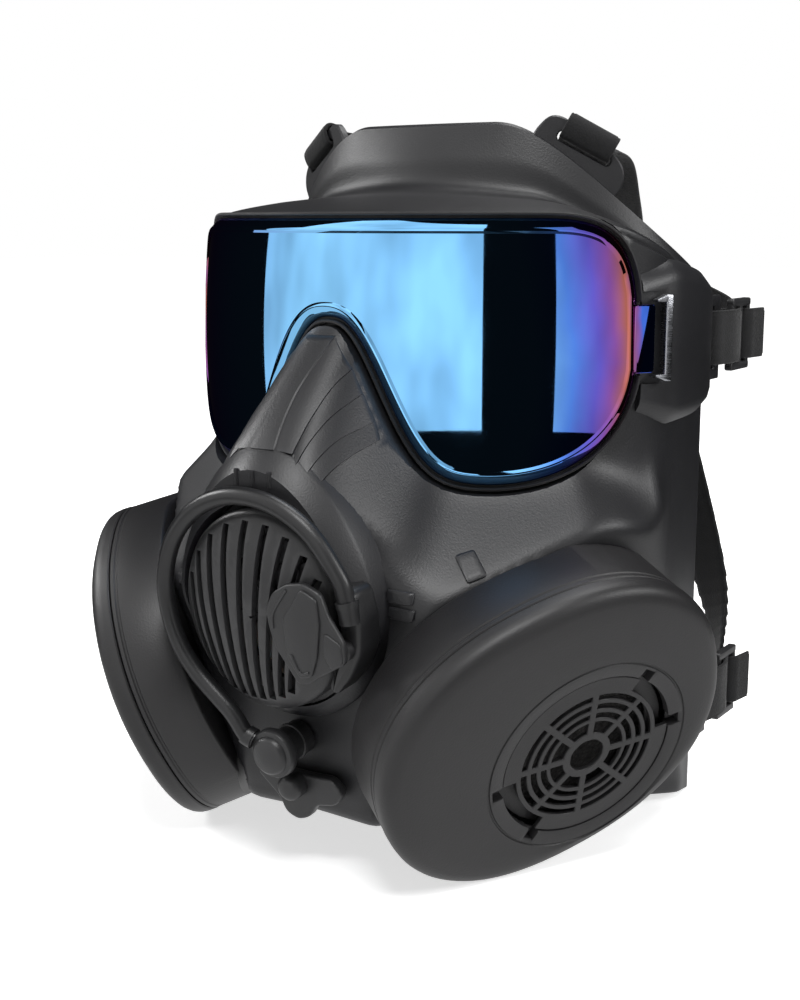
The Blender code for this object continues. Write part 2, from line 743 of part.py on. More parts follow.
def build_cap():
    angles = pocket_angles()
    rings = [
        cap_ring(0.0, 1.2, 0.0, angles), cap_ring(0.45, 1.7, 3.5, angles),
        cap_ring(1.0, 1.0, 4.0, angles), cap_ring(1.0, -0.4, 1.2, angles),
        cap_ring(1.0, -2.6, 0.2, angles), cap_ring(1.0, -7.0, 0.4, angles),
        cap_ring(1.0, -7.0, 3.4, angles), cap_ring(1.0, -12.0, 3.7, angles),
        cap_ring(1.0, -12.0, 5.6, angles), cap_ring(1.0, -3.2, 5.2, angles),
        cap_ring(0.0, -2.6, 0.0, angles),
    ]
    both_sides("filter_cap", loft(rings, loop=True), "hard_polymer", CAN_AT)


def build_grille():
    """Round insert with a hub, a ring of windows and three rings of arc slots."""
    radii = [5.8, 9.2, 13.4, 15.2, 16.8, 19.2, 20.8, 23.2, 24.8, GRILLE_R, 34.4]
    angles = []
    for spoke in range(8):
        middle = spoke * 45.0 + 7.0
        angles += [middle - 3.6, middle + 3.6, middle + 22.5]

    def keep(ring, sector):
        if ring == 9:
            return sector in (2, 14)
        return sector % 3 == 0 or ring in (0, 2, 4, 6, 8)

    plate = polar_plate(can_frame(), radii, angles, keep, -2.2, 0.3, GRILLE_AT)
    middle = frame_points(can_frame(), (*GRILLE_AT, 0.0))
    both_sides("filter_grille", plate, "hard_polymer", middle)


def build_media():
    angles = np.arange(48) * 2 * math.pi / 48
    slab = loft([can_ring(3.2, -16.4, centre_angles=angles), can_ring(3.2, -12.5, centre_angles=angles)])
    both_sides("particulate_pad", slab, "filter_paper", CAN_AT)
    bed = loft([can_ring(3.4, -22.2, centre_angles=angles), can_ring(3.4, -16.8, centre_angles=angles)])
    both_sides("carbon_bed", bed, "carbon", CAN_AT)


def build_ports():
    frame = can_frame()
    sections = [(16.0, -36.5), (22.0, -36.5), (22.0, -32.6)]
    sections += [(PORT_R, -32.6), (PORT_R, -23.2), (16.0, -23.2)]
    both_sides("inlet_port", tube(frame, sections), "hard_polymer")
    radii = [3.0, 5.0, 12.6, 15.6]
    angles = [a for k in range(6) for a in (k * 60.0 - 5.0, k * 60.0 + 5.0, k * 60.0 + 30.0)]
    keep = lambda ring, sector: ring != 1 or sector % 3 == 0
    plate = polar_plate(frame, radii, angles, keep, -32.0, -30.4)
    both_sides("inhale_seat", plate, "hard_polymer")
    flap = drum(frame, 14.4, -33.1, -32.4, sides=28)
    both_sides("inhale_disc", flap, "silicone", CAN_AT - 32.75 * CAN_W)


# ---------------------------------------------------------------- outlet module


def build_outlet_body():
    frame = out_frame()
    plug, flange = ellipse(25.0, 28.0), ellipse(32.4, 35.2)
    rings = [ring_at(frame, plug, -8.0), ring_at(frame, plug, 0.6)]
    rings += [ring_at(frame, flange, 0.6), ring_at(frame, flange, 6.0)]
    body = put("outlet_body", loft(rings), "hard_polymer")
    for v in (13.6, -13.6):
        bore, seat = drum(frame, 9.6, -12.0, 14.0, (0.0, v)), drum(frame, 12.6, 3.0, 11.0, (0.0, v))
        combine(body, "DIFFERENCE", bore, seat)


def build_outlet_valves():
    frame = out_frame()
    low, high = (0.0, -13.6), (0.0, 13.6)
    angles = [k * 90.0 + step for k in range(4) for step in (-8.0, 8.0, 30.0, 60.0)]
    keep = lambda ring, sector: ring != 1 or sector % 4 == 0
    seat = polar_plate(frame, [1.6, 3.2, 9.4, 12.2], angles, keep, 3.3, 4.4, low)
    put("exhale_seat", seat, "hard_polymer")
    flap = drum(frame, 11.4, 4.7, 5.5, low, 28)
    put("exhale_disc", flap, "silicone", frame_points(frame, (*low, 5.1)))
    put("speech_diaphragm", drum(frame, 12.2, 3.3, 3.9, high, 28), "steel")
    ring = [(9.8, 4.2), (12.2, 4.2), (12.2, 6.6), (9.8, 6.6)]
    put("diaphragm_ring", tube(frame, ring, 28, high), "hard_polymer")


def cover_slots():
    """Curved upright slots across the outlet cover, each following the rim beside it."""
    slots = []
    for u0 in np.linspace(-21.6, 21.6, 7):
        reach = 27.0 * math.sqrt(1.0 - (u0 / 30.0) ** 2) - 1.5
        share = np.linspace(-1.0, 1.0, 5)
        slots.append(np.column_stack([u0 * (1.0 - 0.1 * share**2), share * reach]))
    return slots


def build_outlet_cover():
    frame = out_frame()
    inside = [(-2.4, 8.0), (-2.4, 13.2), (-8.0, 16.2), (-20.0, 18.0)]
    outside = [(-20.0, 20.2), (-7.0, 18.4), (-1.2, 15.0), (0.0, 12.0), (0.0, 8.0)]
    rings = []
    for inset, w in inside + outside:
        rings.append(ring_at(frame, ellipse(COVER_A + inset, COVER_B + inset, 28), w))
    cover = put("outlet_cover", dome_from(rings, len(inside)), "hard_polymer")
    for path in cover_slots():
        line = frame_points(frame, np.column_stack([path, np.full(len(path), 18.0)]))
        combine(cover, "DIFFERENCE", sweep(line, frame[1], flat(2.8, 14.0)))


def dome_from(rings, flip):
    """A bowl: rings[:flip] line its inside from rim to middle, the rest its outside back."""
    rings = np.asarray(rings, float)
    size = rings.shape[1]
    inside, outside = rings[:flip], rings[flip:]
    points = np.concatenate([rings.reshape(-1, 3), [inside[-1].mean(axis=0)], [outside[0].mean(axis=0)]])
    faces = []
    for i in list(range(flip - 1)) + list(range(flip, len(rings) - 1)):
        for j in range(size):
            k = (j + 1) % size
            faces.append((i * size + j, i * size + k, (i + 1) * size + k, (i + 1) * size + j))
    last = (len(rings) - 1) * size
    for j in range(size):
        k = (j + 1) % size
        faces.append((last + j, last + k, k, j))
        faces.append(((flip - 1) * size + j, (flip - 1) * size + k, len(rings) * size))
        faces.append((flip * size + j, flip * size + k, len(rings) * size + 1))
    return points, faces


def tube_path():
    """Centre line of the drinking tube: over the module, down its far side to the chin."""
    points = []
    for degrees in (2.0, 25.0, 50.0, 75.0, 100.0, 125.0, 150.0, 175.0, 200.0, 222.0):
        a = math.radians(degrees)
        points.append((37.0 * math.cos(a), 1.5 + 37.5 * math.sin(a), 18.2))
    points += [(-14.5, -36.0, 17.6), (-10.2, -43.0, 16.8)]
    return frame_points(out_frame(), np.array(points))


def build_drinking_parts():
    frame = out_frame()
    rod = sweep(bend(tube_path(), 2), frame[3], circle(2.9, 8))
    put("drink_tube", rod, "hard_polymer")
    paddle = [(-22.1, 17.4), (-16.6, 20.6), (-10.2, 21.7), (-4.2, 19.2), (-1.6, 12.0)]
    paddle += [(3.4, 4.4), (3.6, -2.2), (-1.8, -5.4), (-6.8, -8.4), (-10.7, -11.2)]
    paddle += [(-15.0, -11.8), (-19.2, -5.8), (-22.6, -1.2), (-24.6, 5.4), (-25.4, 11.5)]
    pivot = out_frame(LEVER_AT)
    put("drink_lever", prism(pivot, paddle, 22.2, 26.0), "hard_polymer", pivot[0])
    put("lever_pivot", drum(pivot, 3.4, 13.9, 21.8, sides=16), "hard_polymer")
    put("coupling_body", coupling_shape(), "hard_polymer")
    knob = (np.array([2.0, -61.6, 31.0]), *out_frame()[1:])
    put("coupling_cap", drum(knob, 4.4, 4.6, 11.0, sides=20), "hard_polymer", knob[0])
    lobes = [(-17.0, 4.0), (-13.0, 7.5), (-5.0, 6.5), (5.0, 6.5), (14.0, 7.0), (18.5, 2.5)]
    lobes += [(15.0, -2.5), (7.0, -4.0), (4.0, -9.0), (-1.0, -11.0), (-6.0, -9.0), (-8.0, -4.0)]
    plate = (np.array([2.0, -61.6, 28.0]), *out_frame()[1:])
    put("chin_plate", prism(plate, lobes, 0.0, 4.2), "hard_polymer")


def coupling_shape():
    frame = out_frame((1.0, -48.5, 0.0))
    profile = [(6.0, 2.0), (6.0, 14.2), (8.2, 14.2), (8.2, 18.4), (6.5, 20.8), (3.0, 22.0)]
    return loft([ring_at(frame, circle(r, 20), w) for r, w in profile])


# ---------------------------------------------------------------- nose cup


def build_nose_cup():
    """A soft inner cup over the nose and mouth, open towards the face."""
    profile = [(-50.0, 26.5, 64.5, 123.5), (-40.0, 31.0, 61.0, 128.0), (-24.0, 36.0, 57.0, 135.0),
               (-8.0, 39.5, 53.0, 143.0), (6.0, 41.0, 51.0, 150.0)]

    def ring(y, half, low, high, inset):
        turn = np.arange(26) * 2 * math.pi / 26
        mid, tall = (low + high) / 2, (high - low) / 2 - inset
        pinch = 1.0 - 0.38 * smooth(np.sin(turn)) * (1.0 if y > -45 else 0.4)
        x = (half - inset) * np.cos(turn) * pinch
        return np.column_stack([x, np.full(26, y), mid + tall * np.sin(turn)])

    rings = [ring(*p, 0.0) for p in profile]
    rings += [ring(y + 0.8, h, lo, hi, 2.2) for y, h, lo, hi in reversed(profile[1:])]
    y, h, lo, hi = profile[0]
    rings += [ring(y, h, lo, hi, 2.6)]
    put("nose_cup", loft(rings, loop=True), "silicone")


# ---------------------------------------------------------------- harness


def build_harness():
    path = [(t * 34.0, 144.0 - 8.0 * t * t, 168.0) for t in np.linspace(-1.0, 1.0, 9)]
    put("head_pad", sweep(path, (0, 0, 1), flat(62.0, 3.0)), "webbing")
    both_sides("upper_strap", upper_strap(), "webbing")
    for name, z, end in (("temple", STRAP_HEIGHTS[0], 186.0), ("jaw", STRAP_HEIGHTS[1], 149.0)):
        both_sides(f"{name}_loop", band(loop_plan(), z, 20.0, 1.3), "webbing")
        both_sides(f"{name}_buckle", buckle_shape(z, 20.0), "hard_polymer")
        both_sides(f"{name}_strap", rear_strap(z, end), "webbing")


def upper_strap():
    """Strap threaded through the forehead tab, over its edge and back to the head pad."""
    origin, across, up, out = tab_frame(1)
    start = origin + 5.9 * up
    near = [(-1.5, -7.0), (0.0, -2.5), (0.1, 1.6), (1.8, 2.8), (5.5, 2.9), (7.9, 0.8)]
    near += [(7.6, -2.2), (4.4, -6.0)]
    points = [start + up * a + out * b for a, b in near]
    points += [(49.0, 53.0, 241.0), (44.0, 74.0, 236.0), (34.0, 102.0, 224.0)]
    points += [(22.0, 133.0, 213.0), (15.5, 147.2, 203.0), (13.0, 148.8, 186.0)]
    path = bend(points, 2)
    share = smooth((np.arange(len(path)) - 14.0) / 6.0)[:, None]
    side = across * (1.0 - share) + np.array([1.0, 0.15, 0.0]) * share
    return sweep(path, side, flat(19.0, 1.3))


def loop_plan():
    """Plan of the webbing loop: in through the tab's slot and round the buckle's bar."""
    points = [(82.2, 82.2), (79.7, 83.4), (79.2, 88.0), (80.1, 94.0), (81.2, 99.0), (81.9, 102.7)]
    points += [(84.0, 104.0), (86.1, 102.7), (86.8, 99.0), (86.9, 94.0), (86.0, 88.0), (84.9, 83.4)]
    return np.array(points)


def rear_strap(z, z_end):
    """Strap from a buckle's rear bar, with a short tail outside it, to the head pad."""
    y = BUCKLE_Y
    path = [(88.2, y + 15.0, z), (87.3, y + 9.0, z), (86.6, y + 5.2, z), (84.0, y + 3.8, z)]
    path += [(81.0, y + 5.2, z), (79.6, y + 9.0, z), (77.0, y + 14.0, z)]
    path += [(68.0, y + 24.0, 0.7 * z + 0.3 * z_end), (38.0, y + 34.0, z_end), (26.0, y + 37.2, z_end)]
    return sweep(bend(path, 2), (0, 0, 1), flat(19.0, 1.3))


def band(path, z, width, thick):
    """A flat closed band standing on edge, following path in plan."""
    path = np.asarray(path, float)[:, :2]
    ahead = np.roll(path, -1, axis=0) - np.roll(path, 1, axis=0)
    ahead /= np.linalg.norm(ahead, axis=1)[:, None]
    side = np.column_stack([ahead[:, 1], -ahead[:, 0]]) * thick / 2
    low, high = z - width / 2, z + width / 2
    rings = []
    outer, inner = path + side, path - side
    for plan, height in ((outer, low), (outer, high), (inner, high), (inner, low)):
        rings.append(np.column_stack([plan, np.full(len(plan), height)]))
    return loft(rings, loop=True)


def buckle_shape(z, width):
    """A ladder buckle: a flat frame with three upright bars and two openings."""
    frame = (np.array([84.0, BUCKLE_Y, z]), np.array([0.0, 1.0, 0.0]),
             np.array([0.0, 0.0, 1.0]), np.array([1.0, 0.0, 0.0]))
    half, clear = width / 2 + 3.5, width / 2 + 0.6
    us, vs = [-9.0, -6.2, -1.4, 1.4, 6.2, 9.0], [-half, -clear, clear, half]

    def keep(i, j):
        return 0 <= i < 5 and 0 <= j < 3 and not (j == 1 and i in (1, 3))

    return grid_plate(frame, us, vs, keep, -1.5, 1.5)


def grid_plate(frame, us, vs, keep, w0, w1):
    """A flat plate made of the cells of a rectangular grid for which keep(i, j) is true."""
    columns = len(vs)
    plan = np.array([(u, v) for u in us for v in vs])
    points = np.concatenate([ring_at(frame, plan, w0), ring_at(frame, plan, w1)])
    top, faces = len(plan), []
    for i in range(len(us) - 1):
        for j in range(columns - 1):
            if not keep(i, j):
                continue
            a = i * columns + j
            quad = [a, a + columns, a + columns + 1, a + 1]
            faces += [[top + c for c in quad], quad[::-1]]
            beyond = ((i, j - 1), (i + 1, j), (i, j + 1), (i - 1, j))
            for side, cell in enumerate(beyond):
                if not keep(*cell):
                    c, d = quad[side], quad[(side + 1) % 4]
                    faces.append([c, d, top + d, top + c])
    return points, faces


def main():
    clear_scene()
    build_shell()
    build_face_seal()
    build_lenses()
    build_housing()
    build_cap()
    build_grille()
    build_media()
    build_ports()
    build_outlet_body()
    build_outlet_valves()
    build_outlet_cover()
    build_drinking_parts()
    build_nose_cup()
    build_harness()


main()
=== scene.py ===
"""The full face respirator as it looks: smooth shells, mirrored lens, webbing and valves,
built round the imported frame. Shapes are in millimetres up to write_mesh(), which writes
metres. Modifiers, bumps and the studio are in metres. +X is the wearer's left, the mask
faces -Y and +Z is up."""

import math

import bmesh
import bpy
import numpy as np
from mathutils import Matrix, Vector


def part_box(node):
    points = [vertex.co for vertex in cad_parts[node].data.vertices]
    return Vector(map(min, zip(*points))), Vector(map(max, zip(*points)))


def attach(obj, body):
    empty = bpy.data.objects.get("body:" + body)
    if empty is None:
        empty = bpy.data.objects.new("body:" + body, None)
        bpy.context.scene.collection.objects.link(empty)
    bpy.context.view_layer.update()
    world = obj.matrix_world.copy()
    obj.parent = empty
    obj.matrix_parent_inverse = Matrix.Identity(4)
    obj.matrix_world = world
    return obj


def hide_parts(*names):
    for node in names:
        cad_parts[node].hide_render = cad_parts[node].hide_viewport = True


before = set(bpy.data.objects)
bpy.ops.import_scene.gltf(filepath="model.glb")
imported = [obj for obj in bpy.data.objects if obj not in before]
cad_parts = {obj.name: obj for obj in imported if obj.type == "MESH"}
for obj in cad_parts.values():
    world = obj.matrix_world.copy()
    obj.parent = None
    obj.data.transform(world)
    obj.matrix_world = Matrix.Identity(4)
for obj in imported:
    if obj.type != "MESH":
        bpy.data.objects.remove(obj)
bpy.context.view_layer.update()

MM = 0.001

# the driving dimensions, with the values that the CAD has
AXIS_Y = 64.0
BASE_R, REAR_R, REAR_DEG, WALL = 103.0, 84.0, 97.0, 3.0
LENS_R, LENS_T, LENS_DEG = 109.0, 2.4, 55.8
CAN_AT = np.array([84.3, -36.8, 52.02])
CAN_W = np.array([0.8193, -0.4498, -0.3555])
CAN_T = np.array([0.4813, 0.8766, 0.0])
CAN_A, CAN_B, CAN_POWER, CAN_TILT, CAN_TAPER, CAN_BACK = 62.0, 54.2, 2.25, 22.0, 0.06, -27.0
GRILLE_AT, GRILLE_R = (12.2, -7.5), 31.0
OUT_AT = np.array([0.0, -66.0, 94.0])
OUT_LEAN = math.radians(6.3)
STRAP_HEIGHTS = (172.0, 34.0)
BUCKLE_Y = 107.2

# dimensions and directions that this script adds: the lens's middle and latch heights, the
# holes for the inlet ports, the middles of a cap's two recesses, the webbing and the knob
LENS_MID_Z, LENS_END_Z = 170.0, 177.0
PORT_HOLE_R = 19.35
RECESSES = (40.0, 220.0)
STRAP_WIDTH, LOOP_WIDTH, STRAP_THICK = 19.0, 20.0, 1.3
CHIN_AT = (2.0, -61.6)
SIDES = (("left", 1.0), ("right", -1.0))
UP = np.array([0.0, 0.0, 1.0])

# the studio, in metres and degrees, with the camera's lens in millimetres
CAMERA_AT, CAMERA_PITCH, CAMERA_YAW, CAMERA_LENS = (0.2887, -0.4735, 0.215), 79.39, 33.0, 54.0
PANELS_ROUND, PANEL_DISTANCE = (0.0, 0.035, 0.17), 1.2

# how finely this script draws the wall: rows of points, and steps between the bends
WALL_ROWS = 84
FLOOR_STEPS, TOP_STEPS = (5, 4, 5), (4, 6, 6, 7, 9)

# the front of the lens places this script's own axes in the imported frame
Y_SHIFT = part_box("mirror_lens")[0].y / MM - (AXIS_Y - LENS_R)


# ---------------------------------------------------------------- meshes


def write_mesh(name, shapes):
    """One mesh object from closed (points, faces) shapes in millimetres."""
    points, faces = [], []
    for shape_points, shape_faces in shapes:
        start = sum(len(p) for p in points)
        points.append(np.asarray(shape_points, float))
        faces += [tuple(int(start + i) for i in face) for face in shape_faces]
    moved = (np.concatenate(points) + (0.0, Y_SHIFT, 0.0)) * MM
    mesh = bpy.data.meshes.new(name)
    mesh.from_pydata(moved.tolist(), [], faces)
    work = bmesh.new()
    work.from_mesh(mesh)
    bmesh.ops.remove_doubles(work, verts=work.verts, dist=1e-7)
    bmesh.ops.recalc_face_normals(work, faces=work.faces)
    work.to_mesh(mesh)
    work.free()
    obj = bpy.data.objects.new(name, mesh)
    bpy.context.scene.collection.objects.link(obj)
    return obj


def evaluated_copy(obj):
    """Puts the result of obj's modifiers into its mesh and removes the modifiers."""
    graph = bpy.context.evaluated_depsgraph_get()
    made = bpy.data.meshes.new_from_object(obj.evaluated_get(graph))
    obj.modifiers.clear()
    obj.data = made


def carve(obj, *cutters):
    """Cuts the closed shapes out of obj."""
    for number, shape in enumerate(cutters):
        cutter = write_mesh(f"{obj.name}_cutter_{number}", [shape])
        modifier = obj.modifiers.new("cut", "BOOLEAN")
        modifier.operation = "DIFFERENCE"
        modifier.solver = "EXACT"
        modifier.object = cutter
        evaluated_copy(obj)
        bpy.data.objects.remove(cutter)


def soften(obj, width, segments=2, angle_deg=30.0):
    """Rounds every edge that is sharper than the angle."""
    edge = obj.modifiers.new("edge", "BEVEL")
    edge.width, edge.segments, edge.limit_method = width, segments, "ANGLE"
    edge.angle_limit = math.radians(angle_deg)


def shade(obj, material, sharp_deg):
    obj.data.materials.clear()
    obj.data.materials.append(material)
    obj.data.shade_smooth()
    obj.data.set_sharp_from_angle(angle=math.radians(sharp_deg))


def dress(obj, look, body, node, slot, sharp_deg=40.0):
    """Gives a piece its look and its body, and hides the CAD node that it stands for; slot is not
    used.
    """
    shade(obj, MATERIAL[look], sharp_deg)
    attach(obj, body)
    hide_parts(node)
    return obj


def piece(name, shapes, *dressing):
    """A finished piece that needs no cut: its shapes, then what dress() takes."""
    return dress(write_mesh(name, shapes), *dressing)


def mirrored(shape):
    points, faces = shape
    return np.asarray(points, float) * (-1.0, 1.0, 1.0), faces


def flipped(shape, sign):
    return shape if sign > 0 else mirrored(shape)


# ---------------------------------------------------------------- shape builders


def unit(vectors):
    return vectors / np.linalg.norm(vectors, axis=-1, keepdims=True)


def full_turn(count):
    return np.arange(count) * 2 * math.pi / count


def rays(turn):
    return np.column_stack([np.cos(turn), np.sin(turn)])


def ahead_on(outline):
    """The direction of travel at each point of a closed outline."""
    return unit(np.roll(outline, -1, axis=0) - np.roll(outline, 1, axis=0))


def smooth(t):
    t = np.clip(t, 0.0, 1.0)
    return t * t * (3.0 - 2.0 * t)


def soft_min(values, width):
    values = np.array(values)
    low = values.min(axis=0)
    return low - width * np.log(np.exp(-(values - low) / width).sum(axis=0))


def loft(rings, loop=False):
    """Closed rings joined in order by quads, with a flat cap at each end unless looped."""
    rings = np.asarray(rings, float)
    count, size = rings.shape[:2]
    faces = []
    for i in range(count if loop else count - 1):
        a, b = i * size, ((i + 1) % count) * size
        for j in range(size):
            k = (j + 1) % size
            faces.append((a + j, a + k, b + k, b + j))
    if not loop:
        faces += [tuple(range(size)), tuple((count - 1) * size + j for j in range(size))]
    return rings.reshape(-1, 3), faces


def border_index(columns, rows):
    index = [(i, 0) for i in range(columns)] + [(columns - 1, j) for j in range(1, rows - 1)]
    index += [(i, rows - 1) for i in range(columns - 1, -1, -1)]
    return index + [(0, j) for j in range(rows - 2, 0, -1)]


def sheet(front, back, bulge=0.0):
    """Two grids of the same size joined round their border; bulge rounds that edge."""
    front, back = np.asarray(front, float), np.asarray(back, float)
    columns, rows = front.shape[:2]
    points = np.concatenate([front.reshape(-1, 3), back.reshape(-1, 3)])
    half = columns * rows
    faces = []
    for i in range(columns - 1):
        for j in range(rows - 1):
            a = i * rows + j
            face = (a, a + rows, a + rows + 1, a + 1)
            faces += [face, tuple(half + k for k in reversed(face))]
    index = border_index(columns, rows)
    rim = [i * rows + j for i, j in index]
    middle = []
    for i, j in index:
        inside = (min(max(i, 1), columns - 2), min(max(j, 1), rows - 2))
        centre = (front[i, j] + back[i, j]) / 2
        outward = centre - (front[inside] + back[inside]) / 2
        thick = np.linalg.norm(front[i, j] - back[i, j])
        length = max(np.linalg.norm(outward), 1e-6)
        middle.append(centre + outward / length * thick * bulge)
    start, count = len(points), len(rim)
    if bulge:
        points = np.concatenate([points, middle])
    for n in range(count):
        m = (n + 1) % count
        if bulge:
            faces.append((rim[n], rim[m], start + m, start + n))
            faces.append((start + n, start + m, half + rim[m], half + rim[n]))
        else:
            faces.append((rim[n], rim[m], half + rim[m], half + rim[n]))
    return points, faces


def section_axes(path, side):
    """The across and out directions along an open path, across being near side."""
    ahead = unit(np.gradient(path, axis=0))
    across = np.broadcast_to(np.asarray(side, float), path.shape)
    across = unit(across - ahead * (across * ahead).sum(axis=1)[:, None])
    return across, np.cross(across, ahead)


def sweep(path, side, section):
    """A section of (across, out) corners swept along path; side is the across direction."""
    path = np.asarray(path, float)
    across, out = section_axes(path, side)
    return loft([[p + s * a + o * b for a, b in section] for p, s, o in zip(path, across, out)])


def circle(radius, sides):
    return rays(full_turn(sides)) * radius


def catmull(a, b, c, d, t):
    cubic = 2 * b + (c - a) * t + (2 * a - 5 * b + 4 * c - d) * t**2
    return 0.5 * (cubic + (3 * b - a - 3 * c + d) * t**3)


def bend(points, counts, closed=False):
    """A smooth path through points, with a number of steps for each span."""
    pts = np.asarray(points, float)
    spans = len(pts) if closed else len(pts) - 1
    if closed:
        pts = np.vstack([pts[-1:], pts, pts[:2]])
    else:
        pts = np.vstack([2 * pts[0] - pts[1], pts, 2 * pts[-1] - pts[-2]])
    counts = [counts] * spans if np.isscalar(counts) else counts
    path = []
    for i in range(spans):
        for t in np.arange(counts[i]) / counts[i]:
            path.append(catmull(pts[i], pts[i + 1], pts[i + 2], pts[i + 3], t))
    if not closed:
        path.append(pts[-2])
    return np.array(path)


def rounded(corners, radius, steps=4, closed=True):
    """A flat outline with its corners rounded off."""
    pts = np.asarray(corners, float)
    made = []
    for i, corner in enumerate(pts):
        if not closed and i in (0, len(pts) - 1):
            made.append(corner)
            continue
        before, after = pts[i - 1] - corner, pts[(i + 1) % len(pts)] - corner
        a, b = np.linalg.norm(before), np.linalg.norm(after)
        start = corner + before / a * min(radius, a / 2.2)
        end = corner + after / b * min(radius, b / 2.2)
        for t in np.linspace(0.0, 1.0, steps):
            made.append((1 - t) ** 2 * start + 2 * t * (1 - t) * corner + t**2 * end)
    return np.array(made)


def along_z(path, height):
    """Flat (u, v) points given one height w."""
    return np.column_stack([path, np.full(len(path), height)])


def frame_points(axes, uvw):
    origin, u, v, w = axes
    uvw = np.asarray(uvw, float)
    return origin + uvw[..., :1] * u + uvw[..., 1:2] * v + uvw[..., 2:3] * w


def ring_at(axes, outline, w):
    outline = np.asarray(outline, float)
    height = np.broadcast_to(np.asarray(w, float), (len(outline),))
    return frame_points(axes, np.column_stack([outline, height]))


def offset_outline(outline, amount):
    """A closed outline moved inwards by amount, turning either way round."""
    outline = np.asarray(outline, float)
    ahead = ahead_on(outline)
    x, y = outline[:, 0], outline[:, 1]
    turns = np.sign((x * np.roll(y, -1) - np.roll(x, -1) * y).sum())
    return outline + np.column_stack([-ahead[:, 1], ahead[:, 0]]) * amount * turns


def slab(axes, outline, w0, w1, edge=0.5):
    """A flat plate with both its edges rounded."""
    rings = []
    for turn in (0.0, 30.0, 60.0, 90.0):
        a = math.radians(turn)
        rings.append((edge * (1 - math.sin(a)), w0 + edge * (1 - math.cos(a))))
    rings += [(inset, w1 + w0 - w) for inset, w in reversed(rings)]
    return loft([ring_at(axes, offset_outline(outline, inset), w) for inset, w in rings])


def turned(axes, profile, centre=(0.0, 0.0), sides=64, loop=False):
    """A turned piece: profile is (radius, w) points."""
    unit = circle(1.0, sides)
    rings = [ring_at(axes, unit * r + np.asarray(centre), w) for r, w in profile]
    return loft(rings, loop=loop)


def cell_plate(axes, plan, keep, w0, w1):
    """A plate made of the kept cells of a plan[ring][sector] grid that closes on itself."""
    rings, sectors = plan.shape[0] - 1, plan.shape[1]
    flat = plan.reshape(-1, 2)
    points = np.concatenate([ring_at(axes, flat, w0), ring_at(axes, flat, w1)])
    half, faces = len(flat), []
    for i in range(rings):
        for j in range(sectors):
            if not keep(i, j):
                continue
            k = (j + 1) % sectors
            corner = [i * sectors + j, i * sectors + k]
            corner += [(i + 1) * sectors + k, (i + 1) * sectors + j]
            faces += [tuple(half + c for c in corner), tuple(reversed(corner))]
            beyond = ((i - 1, j), (i, k), (i + 1, j), (i, (j - 1) % sectors))
            for n, (ring, sector) in enumerate(beyond):
                if not (0 <= ring < rings and keep(ring, sector)):
                    a, b = corner[n], corner[(n + 1) % 4]
                    faces.append((a, b, half + b, half + a))
    used = sorted({c for face in faces for c in face})
    renumber = {old: new for new, old in enumerate(used)}
    return points[used], [tuple(renumber[c] for c in face) for face in faces]


def oval(a, b, power, turn_deg, angles, taper=0.0):
    local = np.asarray(angles) - math.radians(turn_deg)
    c, s = np.abs(np.cos(local)), np.abs(np.sin(local))
    return ((c / (a - taper)) ** power + (s / (b - taper)) ** power) ** (-1 / power)


def ellipse(a, b, count=96, apex=0.0):
    """An ellipse, with its top drawn up to a blunt point by apex."""
    turn = full_turn(count)
    lift = apex * np.clip(np.sin(turn), 0.0, 1.0) ** 3
    return np.column_stack([a * np.cos(turn), b * np.sin(turn) + lift])


def can_frame():
    return (CAN_AT, CAN_T, np.cross(CAN_W, CAN_T), CAN_W)


def out_frame(at=(0.0, 0.0, 0.0)):
    c, s = math.cos(OUT_LEAN), math.sin(OUT_LEAN)
    u, v, w = np.array([1.0, 0, 0]), np.array([0, -s, c]), np.array([0, -c, -s])
    return (OUT_AT + at[0] * u + at[1] * v + at[2] * w, u, v, w)


def box_shape(centre, u, v, size):
    """A box of that size round a centre, its first two sides along u and nearly along v."""
    u = unit(np.asarray(u, float))
    v = unit(np.asarray(v, float) - u * (u @ np.asarray(v, float)))
    axes = (np.asarray(centre, float), u, v, np.cross(u, v))
    a, b, c = (s / 2 for s in size)
    corners = [(-a, -b), (a, -b), (a, b), (-a, b)]
    return loft([ring_at(axes, corners, -c), ring_at(axes, corners, c)])


# ---------------------------------------------------------------- materials


